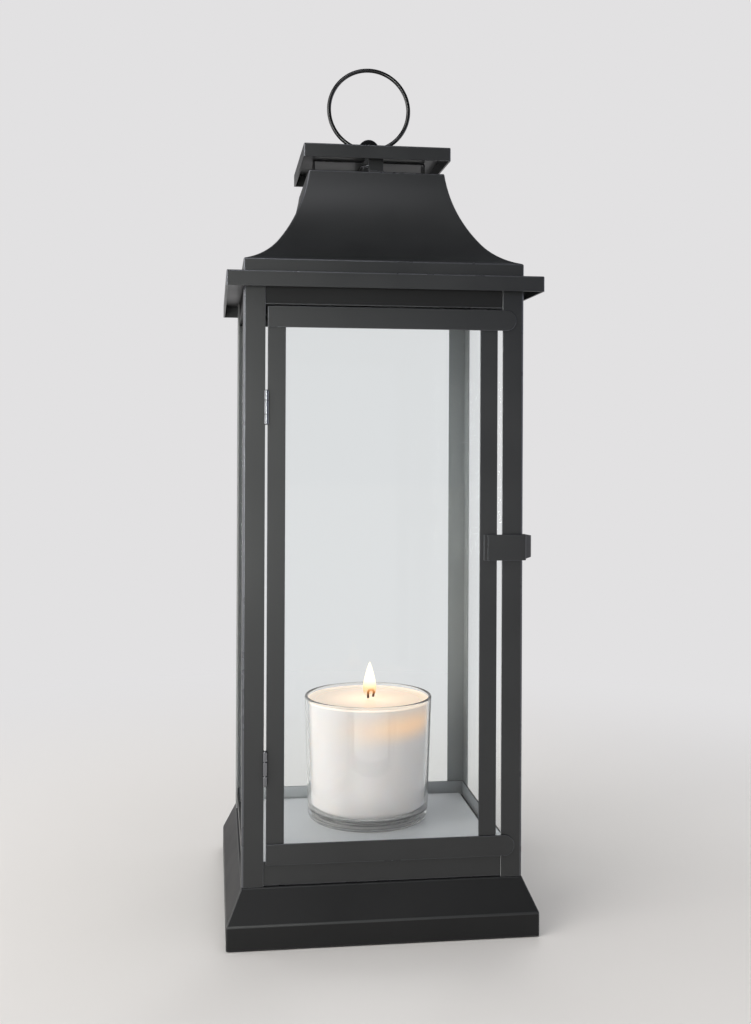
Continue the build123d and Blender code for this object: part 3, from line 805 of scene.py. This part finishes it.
@dataclass
class Roof:
    """Flared roof: an upstand and two arcs that rise to the throat."""

    half: float = Posts.half
    bottom: float = Cornice.top
    foot: float = 454.6
    rise: float = 70.0
    top_half: float = 48.5
    flange: float = 8.0
    steepening: float = 0.777
    flattening: float = 0.709
    joint_turn: float = 0.936
    steps: int = 12

    def curve(self, shape: Shape) -> None:
        """Add the two arcs and the top flange to the upstand's chain.

        Args:
            shape: The chain of edges, in the plane of the front's middle.
        """
        run = self.half - self.top_half
        chord = degrees(atan2(self.rise, run))
        top = radians(chord + self.steepening * (90 - chord))
        low = radians(chord * (1 - self.flattening))
        joint = radians(chord * self.joint_turn)
        foot_turn = (sin(joint) - sin(low), cos(low) - cos(joint))
        top_turn = (sin(top) - sin(joint), cos(joint) - cos(top))
        spread = foot_turn[0] * top_turn[1] - foot_turn[1] * top_turn[0]
        foot_radius = (run * top_turn[1] - self.rise * top_turn[0]) / spread
        top_radius = (foot_turn[0] * self.rise - foot_turn[1] * run) / spread
        end = max(shape.bm.verts, key=lambda v: v.co.z)
        for radius, start, finish in ((foot_radius, low, joint), (top_radius, joint, top)):
            centre = end.co + radius * Vector((0, -sin(start), cos(start)))
            end = only(BMVert, shape.spin([end], centre, (1, 0, 0), finish - start, self.steps))[0]
        brink = shape.bm.verts.new(end.co + Vector((0, self.flange, 0)))
        shape.bm.edges.new((end, brink))

    def build(self) -> None:
        """Make the four sides as one welded shell."""
        shell = square_shell([(self.half, self.bottom), (self.half, self.foot)], self.bottom, self.curve)
        shell.finish("roof_shell", BLACK_COAT, Body.CASE, four_of("roof"), smooth_under=24)


@dataclass
class ChimneyCap:
    """Raised cap on two hat-shaped straps, with its ball eye, washer and nut."""

    half: float = 52.35
    bottom: float = 533.1
    top: float = 542.6
    hole: float = 2.7
    strap_width: float = 10.5
    strap_leg: float = 41.8
    strap_foot: float = 5.2
    strap_bends: tuple[float, ...] = (0.4, 1.6, 1.6, 0.4)
    roof_top: float = Roof.foot + Roof.rise
    ball: float = 7.8
    ball_centre: float = 551.0
    bore: float = 2.2
    bore_half: float = 4.8
    mouth: Pair = (6.97, 3.5)
    collar: float = 5.0
    collar_lap: float = 0.6
    shank: float = 2.5
    shank_end: float = 533.7
    washer: Pair = (2.6, 6.0)
    washer_sheet: float = 1.0
    nut_half: float = 4.0
    nut_height: float = 4.0
    nut_wall: float = 1.45

    def strap(self, bridge: float) -> Shape:
        """Bend one strap, left to right, with the top of its bridge at a height."""
        foot_top = self.roof_top + SHEET
        end = self.strap_leg + self.strap_foot
        points = [(-end, foot_top), (-self.strap_leg, foot_top), (-self.strap_leg, bridge),
                  (self.strap_leg, bridge), (self.strap_leg, foot_top), (end, foot_top)]
        strap = Shape().wire([(x, -self.strap_width / 2, z) for x, z in points], self.strap_bends)
        strap.sweep((0, self.strap_width, 0)).face_away((0, 0, self.roof_top - 100)).thicken(SHEET)
        return strap.soften(0.2)

    def eye(self) -> Shape:
        """Turn the ball eye: a bored ball on a collar and a shank."""
        ball = Shape()
        x, r = self.mouth
        first = ball.bm.verts.new((x, 0, r))
        made = ball.spin([first], (0, 0, 0), (0, -1, 0), pi - 2 * atan2(r, x), 24)
        last = only(BMVert, made)[0]
        inner = [ball.bm.verts.new((side * self.bore_half, 0, self.bore)) for side in (-1, 1)]
        for pair in ((last, inner[0]), (inner[0], inner[1]), (inner[1], first)):
            ball.bm.edges.new(pair)
        ball.turn_round(48, (1, 0, 0)).soften(0.3, over=25).move(z=self.ball_centre)
        neck = self.ball_centre - (self.ball ** 2 - self.collar ** 2) ** 0.5 + self.collar_lap
        points = [(0, self.shank_end), (self.shank, self.shank_end), (self.shank, self.top),
                  (self.collar, self.top), (self.collar, neck), (0, neck)]
        stem = Shape().wire([(u, 0, z) for u, z in points], [0.5, 0, 0.4, 0])
        return ball.join(stem.turn_round(48))

    def build(self) -> None:
        """Make the cap, its straps, the eye and what holds it."""
        cap = square_shell([(self.half, self.bottom), (self.half, self.top), (self.hole, self.top)],
                           self.bottom)
        cap.finish("chimney_cap", BLACK_COAT, Body.CASE)
        ceiling = self.top - SHEET
        self.strap(ceiling).finish("cap_strap_across", BLACK_COAT, Body.CASE)
        self.strap(ceiling - SHEET).turn(90).finish("cap_strap_along", BLACK_COAT, Body.CASE)
        self.eye().finish("ring_eye", GLOSS_COAT, Body.CASE)
        (inner, outer), washer_top = self.washer, ceiling - 2 * SHEET
        washer_low = washer_top - self.washer_sheet
        washer = Shape().wire([(inner, 0, washer_low), (outer, 0, washer_low), (outer, 0, washer_top),
                               (inner, 0, washer_top)], [0.1, 0.3, 0.3, 0.1], closed=True, segments=2)
        washer.turn_round(40).finish("eye_washer", BARE_STEEL, Body.CASE)
        nut = Shape()
        bmesh.ops.create_circle(nut.bm, cap_ends=False, radius=self.nut_half / cos(pi / 6), segments=6,
                                matrix=Matrix.Translation((0, 0, washer_low - self.nut_height)))
        nut.sweep((0, 0, self.nut_height)).face_away((0, 0, washer_low - self.nut_height / 2))
        nut.thicken(self.nut_wall).soften(0.25, over=40).finish("eye_nut", BARE_STEEL, Body.CASE)


@dataclass
class HangingRing:
    """Round wire ring, upright in the ball eye."""

    radius: float = 29.9
    wire: float = 1.5
    centre: float = 580.9

    def build(self) -> None:
        """Bend the wire into a ring."""
        ring = Shape()
        bmesh.ops.create_circle(ring.bm, cap_ends=False, radius=self.wire, segments=20,
                                matrix=Matrix.Translation((self.radius, 0, self.centre)))
        ring.turn_round(126, (0, 1, 0), (0, 0, self.centre)).finish("hanging_ring", GLOSS_COAT, Body.RING)


@dataclass
class Glazing:
    """Floor plate, fixed panes and the bent tabs that hold them."""

    floor_half: float = 90.1
    floor: Pair = (39.0, 41.4)
    pane: Pair = (90.6, 92.6)
    pane_heights: Pair = (39.0, 436.0)
    side_half: float = 92.1
    edge_round: float = 0.35
    sheet: float = 0.8
    tab_width: float = 8.0
    tab_grip: float = 5.6
    tab_weld: float = 5.0
    tab_spread: float = 60.0

    def tab(self) -> Shape:
        """Bend one tab of the front header, from the weld to the grip on the pane."""
        top = self.pane_heights[1]
        inner, outer = self.pane[0] - 0.1 - self.sheet, self.pane[1] - self.sheet
        step = top + 0.3 + self.sheet
        points = [(inner, top - self.tab_grip), (inner, step), (outer, step), (outer, step + self.tab_weld)]
        tab = Shape().wire([(-self.tab_width / 2, -u, z) for u, z in points], [1.0, 0.3])
        tab.sweep((self.tab_width, 0, 0)).face_away((0, 0, top - 60)).thicken(-self.sheet)
        return tab.soften(0.15)

    def build(self) -> None:
        """Make the floor plate, three panes and six tabs."""
        half, (low, high) = self.floor_half, self.floor
        plate = Shape().box((-half, -half, low), (half, half, high))
        plate.soften(1.1, segments=4, where=lambda e: all(v.co.z > low + 0.5 for v in e.verts))
        plate.finish("floor_plate", GREY_COAT, Body.CASE)
        (inner, outer), (bottom, top) = self.pane, self.pane_heights
        tabs = Shape()
        for name, side_half in (("right", self.side_half), ("back", half), ("left", self.side_half)):
            pane = Shape().box((-side_half, -outer, bottom), (side_half, -inner, top))
            pane.soften(self.edge_round).turn(SIDES[name]).finish(f"pane_{name}", PANE_GLASS, Body.CASE)
            for x in (-self.tab_spread, self.tab_spread):
                tabs.join(self.tab().move(x=x).turn(SIDES[name]))
        tabs.finish("pane_clips", BLACK_COAT, Body.CASE)


@dataclass
class Door:
    """Glazed door: two rails with rounded stops over two stiles."""

    left: float = -78.9
    right: float = 76.9
    bottom: float = 52.3
    top: float = 422.8
    stile: float = 12.0
    rail: float = 14.0
    stop: float = 89.5
    front: float = -96.5
    seam: float = -95.3
    back: float = -94.1
    glass_back: float = -92.1
    lap: float = 6.0
    pad: Pair = (67.6, 76.0)
    pad_front: float = -96.2
    latch_middle: float = 261.7
    latch_half: float = 8.8
    tab_sheet: float = 0.8
    tab_width: float = 8.0
    tab_weld: float = 3.0
    tab_grip: float = 4.4
    tab_end: float = 30.0
    tab_spread: float = 40.0

    def rail_at(self, low: float) -> Shape:
        """Cut one rail, its right end rounded.

        Args:
            low: Height of its lower edge.

        Returns:
            The rail.
        """
        rail, high = Shape(), low + self.rail
        corners = [(self.left, low), (self.stop, low), (self.stop, high), (self.left, high)]
        verts = [rail.bm.verts.new((x, self.front, z)) for x, z in corners]
        rail.bm.faces.new(verts)
        rail.bevel([verts[1], verts[2]], self.rail / 2 * 0.999, 12, "VERTICES")
        bmesh.ops.remove_doubles(rail.bm, verts=rail.bm.verts[:], dist=0.02)
        rail.push(rail.bm.faces[:], (0, self.seam - self.front, 0))
        bmesh.ops.recalc_face_normals(rail.bm, faces=rail.bm.faces[:])
        return rail.soften(0.3, segments=3)

    def tabs(self) -> Shape:
        """Bend the tabs that hold the pane: three on each stile and two under it."""
        pane_left = self.left + self.stile - self.lap
        pane_low, pane_high = self.bottom + self.rail - self.lap, self.top - self.rail + self.lap
        sheet, middle = self.tab_sheet, (self.left + self.right) / 2
        grip = self.glass_back + 0.1
        edge = pane_left - 0.3 - sheet
        all_tabs = Shape()
        for z in (pane_low + self.tab_end, (self.bottom + self.top) / 2, pane_high - self.tab_end):
            points = [(edge - self.tab_weld, self.back + sheet), (edge, self.back + sheet),
                      (edge, grip + sheet), (pane_left + self.tab_grip, grip + sheet)]
            for mirrored in (False, True):
                tab = Shape().wire([(x, y, z - self.tab_width / 2) for x, y in points], [0.3, 0.8])
                tab.sweep((0, 0, self.tab_width)).face_away((middle, -300, z)).thicken(sheet).soften(0.15)
                if mirrored:
                    tab.move(x=-middle).transform(Matrix.Scale(-1, 4, (1, 0, 0))).move(x=middle)
                all_tabs.join(tab)
        low = pane_low - 0.3 - sheet
        points = [(self.seam, pane_low + 1.5), (self.seam, low), (grip + sheet, low),
                  (grip + sheet, pane_low + self.tab_grip)]
        for x in (middle - self.tab_spread, middle + self.tab_spread):
            tab = Shape().wire([(x - self.tab_width / 2, y, z) for y, z in points], [0.8, 0.8])
            tab.sweep((self.tab_width, 0, 0)).face_away((x, (self.seam + grip) / 2, pane_low + 8))
            all_tabs.join(tab.thicken(sheet).soften(0.15))
        return all_tabs

    def build(self) -> None:
        """Make the rails, stiles, pane, tabs and the latch's pad."""
        for name, low in (("top", self.top - self.rail), ("bottom", self.bottom)):
            self.rail_at(low).finish(f"door_rail_{name}", BLACK_COAT, Body.DOOR)
        for name, left in (("left", self.left), ("right", self.right - self.stile)):
            stile = Shape().box((left, self.seam, self.bottom), (left + self.stile, self.back, self.top))
            stile.soften(CUT, segments=3).finish(f"door_stile_{name}", BLACK_COAT, Body.DOOR)
        hidden = self.stile - self.lap, self.rail - self.lap
        pane = Shape().box((self.left + hidden[0], self.back, self.bottom + hidden[1]),
                           (self.right - hidden[0], self.glass_back, self.top - hidden[1]))
        pane.soften(Glazing.edge_round).finish("door_pane", PANE_GLASS, Body.DOOR)
        self.tabs().finish("door_clips", BLACK_COAT, Body.DOOR)
        pad = Shape().box((self.pad[0], self.pad_front, self.latch_middle - self.latch_half),
                          (self.pad[1], self.seam, self.latch_middle + self.latch_half))
        pad.soften(CUT, segments=3).finish("latch_pad", BLACK_COAT, Body.DOOR)


@dataclass
class Latch:
    """Spring clip that hooks round the right post."""

    left: float = 70.0
    front: float = -97.5
    bend: float = 97.0
    leg: Pair = (96.4, -92.0)
    flare: Pair = (102.2, -87.9)
    tip: Pair = (103.1, -86.3)
    bend_radii: Point = (1.4, 0.5, 1.4)
    sheet: float = 1.0
    middle: float = Door.latch_middle
    half: float = Door.latch_half
    taper: float = 1.4

    def build(self) -> None:
        """Bend the clip and taper its lip."""
        points = [(self.left, self.front), (self.bend, self.front), self.leg, self.flare, self.tip]
        clip = Shape().wire([(x, y, self.middle - self.half) for x, y in points], self.bend_radii, segments=5)
        clip.sweep((0, 0, 2 * self.half)).face_away((0, 0, self.middle))
        for vert in clip.bm.verts:
            lip = max(0.0, (vert.co.x - self.leg[0]) / (self.tip[0] - self.leg[0]))
            if vert.co.y > self.front + 2:
                vert.co.z += (1 if vert.co.z < self.middle else -1) * lip * self.taper
        clip.thicken(self.sheet).soften(0.2).finish("latch_clip", BLACK_COAT, Body.LATCH)


@dataclass
class Hinge:
    """Small butt hinge: two leaves that roll round a plain pin."""

    name: str
    height: float
    x: float = -79.65
    y: float = -97.2
    half: float = 11.25
    middle: float = 4.55
    gap: float = 0.3
    barrel: float = 1.7
    bore: float = 1.1
    pin: float = 1.05
    pin_end: float = 0.4
    leaf: float = 0.6
    edge: float = 0.12
    side_gap: float = 1.5
    post_seat: float = 3.4
    post_reach: float = 9.0
    door_seat: float = 3.1
    door_reach: float = 4.5

    def knuckle(self, low: float, high: float) -> Shape:
        """Roll one knuckle between two heights."""
        ring = Shape().wire([(self.bore, 0, low), (self.barrel, 0, low), (self.barrel, 0, high),
                             (self.bore, 0, high)], [0.12, 0.25, 0.25, 0.12], closed=True, segments=3)
        return ring.turn_round(36)

    def plate(self, x: Pair, y: Pair, z: Pair) -> Shape:
        """Cut one flat piece of a leaf between two places on each axis."""
        return Shape().box(*zip(x, y, z)).soften(self.edge)

    def build(self) -> None:
        """Make the post's leaf, the door's leaf and the pin."""
        near, clear = self.side_gap / 2, self.barrel + self.gap
        full, centre = (-self.half, self.half), (-self.middle, self.middle)
        post_web, door_web = (-near, -near + self.leaf), (near - self.leaf, near)
        post_back, door_back = self.post_seat + self.leaf, self.door_seat + self.leaf
        root = (self.bore + 0.2, clear + 0.3 + self.leaf)
        post = self.plate((-near - self.post_reach, post_web[1]), (self.post_seat, post_back), full)
        post.join(self.plate(post_web, (clear, post_back), full))
        door = self.plate((door_web[0], near + self.door_reach), (self.door_seat, door_back), full)
        door.join(self.plate(door_web, (clear, door_back), full))
        for ends in ((self.middle + self.gap, self.half), (-self.half, -self.middle - self.gap)):
            post.join(self.knuckle(*ends)).join(self.plate(post_web, root, ends))
        door.join(self.knuckle(*centre)).join(self.plate(door_web, root, centre))
        end = self.half + self.pin_end
        pin = Shape().wire([(0, 0, -end), (self.pin, 0, -end), (self.pin, 0, end), (0, 0, end)], [0.45, 0.45])
        pin.turn_round(32)
        for shape, kind, body in ((post, "post_leaf", Body.CASE), (door, "door_leaf", Body.DOOR),
                                  (pin, "pin", Body.CASE)):
            shape.move(self.x, self.y, self.height).finish(f"hinge_{kind}_{self.name}", BARE_STEEL, body)


@dataclass
class Candle:
    """Jar candle: tumbler, wax, wick and the flame; its tin foot is the imported part."""

    floor: float = Glazing.floor[1]
    rim: float = 49.5
    base: float = 46.5
    height: float = 94.5
    wall: float = 2.6
    bottom: float = 6.5
    punt: float = 1.6
    wax_below: float = 3.0
    wax_gap: float = 0.1
    wick: float = 0.9
    wick_stand: float = 3.0
    flame_foot: float = 0.6
    flame_lean: float = 1.2
    steps: int = 128

    def radius(self, z: float) -> float:
        """Outer radius of the jar at a height above its base."""
        return self.base + (self.rim - self.base) * z / self.height

    def jar(self) -> Shape:
        """Press the tumbler: thick base with a shallow punt, and a fire-polished rim."""
        points = [(0, self.punt), (24, self.punt), (33, 0), (self.base, 0), (self.rim, self.height),
                  (self.rim - self.wall, self.height), (self.radius(self.bottom) - self.wall, self.bottom),
                  (0, self.bottom)]
        jar = Shape().wire([(r, 0, z) for r, z in points], [14, 3, 5, 1.2, 1.2, 8], segments=8)
        return jar.turn_round(self.steps)

    def wax(self) -> Shape:
        """Pour the wax: a narrow meniscus at the glass and a shallow pool round the wick."""
        low, top, gap = self.bottom + self.wax_gap, self.height - self.wax_below, self.wall + self.wax_gap
        wall = self.radius(top) - gap
        points = [(0, low), (self.radius(low) - gap, low), (wall, top + 0.7), (wall - 1.2, top),
                  (wall - 5, top - 0.5), (4, top - 0.5), (1.1, top), (0, top)]
        wax = Shape().wire([(r, 0, z) for r, z in points], [8, 0, 1.0, 2, 2, 0.5], segments=6)
        return wax.turn_round(self.steps)

    def wick_cord(self) -> Shape:
        """Lead the wick up out of the wax and curl its tip over."""
        cord = Shape()
        bmesh.ops.create_circle(cord.bm, cap_ends=True, radius=self.wick, segments=14,
                                matrix=Matrix.Translation((0, 0, self.bottom)))
        cord.bm.faces.ensure_lookup_table()
        end = cord.bm.faces[0]
        upright = self.height - self.wax_below + self.wick_stand - self.bottom
        heading = 0.0
        # Each run is a length and no turn, or a radius and its turn in degrees
        for size, angle in ((upright, 0.0), (8.0, 14.0), (2.2, 178.0), (3.0, 0.0)):
            ahead = Vector((sin(radians(heading)), 0, cos(radians(heading))))
            if angle == 0:
                made = cord.push([end], ahead * size)
                cord.bm.faces.remove(end)
            else:
                centre = end.calc_center_median() + Vector((ahead.z, 0, -ahead.x)) * size
                made = cord.spin([end], centre, (0, 1, 0), radians(angle), max(3, int(angle / 10)))
                heading += angle
            end = only(BMFace, made)[0]
        bmesh.ops.recalc_face_normals(cord.bm, faces=cord.bm.faces[:])
        return cord

    def flame(self) -> Shape:
        """Draw the flame: a slim drop that stands on the wick."""
        outline = [(0, 0), (3.0, 1.0), (4.9, 3.6), (5.4, 7.0), (5.0, 11.0), (4.1, 15.5), (2.9, 20.0),
                   (1.5, 24.5), (0, 28.4)]
        return Shape().wire([(r, 0, z) for r, z in outline]).turn_round(24)

    def build(self) -> None:
        """Make the candle's pieces where the jar stands."""
        x, y = CANDLE_AXIS
        for shape, name, finish, smooth_under in ((self.jar(), "candle_jar", JAR_GLASS, 80),
                                                  (self.wax(), "candle_wax", WAX, 50),
                                                  (self.wick_cord(), "candle_wick", COTTON, 60)):
            shape.move(x, y, self.floor).finish(name, finish, Body.CANDLE, smooth_under=smooth_under)
        foot = self.floor + self.height - self.wax_below + self.flame_foot
        flame = self.flame().move(x + self.flame_lean, y, foot)
        drop = flame.finish("candle_flame", FLAME, Body.CANDLE, replaces=(), smooth_under=180)
        rounding = drop.modifiers.new("round", "SUBSURF")
        rounding.levels = rounding.render_levels = 2


@dataclass(frozen=True)
class Softbox:
    """One soft area lamp. Its place and size are in metres and its power in watts."""

    name: str
    place: Point
    size: Pair
    power: float
    colour: str = "#ffffff"
    mirrored: bool = True
    diffused: bool = True
    aim: Point = (0.0, 0.0, 0.28)

    def build(self) -> None:
        """Hang the lamp and turn it to its aim."""
        lamp = bpy.data.lights.new(self.name, "AREA")
        lamp.shape = "RECTANGLE"
        lamp.size, lamp.size_y = self.size
        lamp.energy = self.power
        lamp.color = linear(self.colour)[:3]
        holder = new_object(self.name, lamp)
        holder.location = self.place
        way = Vector(self.aim) - Vector(self.place)
        holder.rotation_euler = way.to_track_quat("-Z", "Y").to_euler()
        holder.visible_glossy = self.mirrored
        holder.visible_diffuse = self.diffused
        holder.visible_camera = False


LAMPS = (
    Softbox("front_softbox", (-2.1, -1.4, 0.5), (1.4, 1.5), 9.0, "#fffefd"),
    Softbox("front_card", (-0.4, -2.25, 0.2), (0.42, 0.6), 13.0, "#fcfffa", diffused=False),
    Softbox("roof_card", (-0.3, -1.6, 2.0), (1.0, 0.5), 9.0, "#fafbff", diffused=False),
    Softbox("front_fill", (-0.3, -2.3, 0.5), (1.0, 1.0), 2.0, mirrored=False),
    Softbox("back_softbox", (0.4, 1.7, 1.9), (1.4, 1.2), 16.0, mirrored=False),
    Softbox("edge_strip", (-1.17, -1.87, 0.45), (0.16, 1.3), 11.0, diffused=False),
    Softbox("key_softbox", (-1.7, -1.15, 1.5), (1.6, 1.2), 21.0, "#fffdfa"),
    Softbox("left_softbox", (-1.7, 0.35, 0.45), (1.6, 1.4), 15.0),
    Softbox("right_softbox", (1.8, 0.4, 0.4), (0.9, 1.2), 4.0, "#e4ebff"),
    Softbox("overhead_softbox", (0.0, -0.3, 2.4), (2.4, 2.4), 33.0, mirrored=False),
)


@dataclass
class Studio:
    """Plain pale floor and backdrop, soft lamps and the photograph's camera, in metres and radians."""

    backdrop: str = "#e2e1e2"
    floor: str = "#e5e2df"
    zenith: str = "#36383c"
    facing_left: str = "#bcc0b8"
    facing_right: str = "#a3aac6"
    across: Pair = (-0.05, 0.3)
    facing: Pair = (-0.2, -0.8)
    overhead: Pair = (-0.05, 0.42)
    light_strength: float = 0.8
    floor_half: float = 8.0
    floor_drop: float = 0.0004
    fade: Pair = (0.22, 0.85)
    eye: Point = (-0.1147, -0.8986, 0.3340)
    heading: float = 0.1334
    roll: float = 0.0042
    lens: float = 42.53
    shift: Pair = (0.0003, -0.0699)

    def camera(self) -> None:
        """Set the camera up as the photograph's was."""
        data = bpy.data.cameras.new("camera")
        data.sensor_fit = "AUTO"
        data.sensor_width = 36.0
        data.lens = self.lens
        data.shift_x, data.shift_y = self.shift
        data.clip_start = 0.01
        holder = new_object("camera", data)
        level = Matrix.Rotation(-self.heading, 4, "Z") @ Matrix.Rotation(pi / 2, 4, "X")
        holder.matrix_world = Matrix.Translation(self.eye) @ level @ Matrix.Rotation(self.roll, 4, "Z")
        bpy.context.scene.camera = holder

    def seen(self, tree: NodeTree) -> NodeSocket:
        """Share of a ray that sees the backdrop as it is: from the camera, a mirror or through glass."""
        path = add_node(tree, "LightPath").node.outputs
        first = add_node(tree, "Math", {"operation": "MAXIMUM", 0: path["Is Camera Ray"],
                                        1: path["Is Transmission Ray"]})
        return add_node(tree, "Math", {"operation": "MAXIMUM", 0: first, 1: path["Is Glossy Ray"]})

    def world(self) -> None:
        """Light the room evenly, a little darker overhead."""
        world = bpy.data.worlds.new("studio")
        bpy.context.scene.world = world
        world.use_nodes = True
        tree = world.node_tree
        tree.nodes.clear()
        way = add_node(tree, "TexCoord", out="Generated")
        parts = add_node(tree, "SeparateXYZ", {0: way}).node.outputs
        lens = add_node(tree, "LightPath", out="Is Camera Ray")
        unseen = add_node(tree, "Math", {"operation": "SUBTRACT", 0: 1.0, 1: lens})
        # The room behind the camera is dimmer than the backdrop, and bluer to the right
        front = add_node(tree, "MapRange", {**SMOOTH, "Value": parts["Y"], "From Min": self.facing[0],
                                            "From Max": self.facing[1]})
        right = add_node(tree, "MapRange", {"Value": parts["X"], "From Min": self.across[0],
                                            "From Max": self.across[1]})
        facing = add_node(tree, "Mix", {"data_type": "RGBA", 0: right, 6: linear(self.facing_left),
                                        7: linear(self.facing_right)}, 2)
        dim = add_node(tree, "Math", {"operation": "MULTIPLY", 0: front, 1: unseen})
        wall = add_node(tree, "Mix", {"data_type": "RGBA", 0: dim, 6: linear(self.backdrop), 7: facing}, 2)
        lift = add_node(tree, "MapRange", {**SMOOTH, "Value": parts["Z"], "From Min": self.overhead[0],
                                           "From Max": self.overhead[1]})
        above = add_node(tree, "Math", {"operation": "MULTIPLY", 0: lift, 1: unseen})
        sky = add_node(tree, "Mix", {"data_type": "RGBA", 0: above, 6: wall, 7: linear(self.zenith)}, 2)
        plain = add_node(tree, "Background", {"Color": sky, "Strength": 1.0})
        light = add_node(tree, "Background", {"Color": sky, "Strength": self.light_strength})
        both = add_node(tree, "MixShader", {0: self.seen(tree), 1: light, 2: plain})
        add_node(tree, "OutputWorld", {"Surface": both})

    def ground(self) -> None:
        """Lay the floor, which fades into the backdrop far out."""
        shape = Shape()
        bmesh.ops.create_grid(shape.bm, x_segments=1, y_segments=1, size=self.floor_half)
        mesh = bpy.data.meshes.new("floor")
        shape.bm.to_mesh(mesh)
        shape.bm.free()
        plane = new_object("floor", mesh)
        plane.location.z = -self.floor_drop
        material = bpy.data.materials.new("studio_floor")
        material.use_nodes = True
        tree = material.node_tree
        tree.nodes.clear()
        place = add_node(tree, "TexCoord", out="Object")
        reach = add_node(tree, "VectorMath", {"operation": "LENGTH", 0: place}, "Value")
        far = add_node(tree, "MapRange", {**SMOOTH, "Value": reach, "From Min": self.fade[0],
                                          "From Max": self.fade[1]})
        gone = add_node(tree, "Math", {"operation": "MULTIPLY", 0: far, 1: self.seen(tree)})
        matt = add_node(tree, "BsdfDiffuse", {"Color": linear(self.floor)})
        plain = add_node(tree, "Emission", {"Color": linear(self.backdrop), "Strength": 1.0})
        both = add_node(tree, "MixShader", {0: gone, 1: matt, 2: plain})
        add_node(tree, "OutputMaterial", {"Surface": both})
        mesh.materials.append(material)

    def build(self) -> None:
        """Set up the camera, the room and the lamps."""
        bpy.context.scene.view_settings.view_transform = "Standard"
        self.camera()
        self.world()
        self.ground()
        for lamp in LAMPS:
            lamp.build()


def main() -> None:
    """Build the lantern piece by piece and set the studio round it."""
    logging.basicConfig(level=logging.INFO, format="%(message)s")
    sub_assemblies = [Plinth(), Posts(), Cornice(), Roof(), ChimneyCap(), HangingRing(), Glazing(), Door(),
                      Latch(), Hinge("upper", 355.6), Hinge("lower", 116.7), Candle()]
    for assembly in sub_assemblies:
        assembly.build()
    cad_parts["wick_sustainer"].data.materials.clear()
    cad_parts["wick_sustainer"].data.materials.append(BARE_STEEL.material())
    Studio().build()


if __name__ == "__main__":
    main()
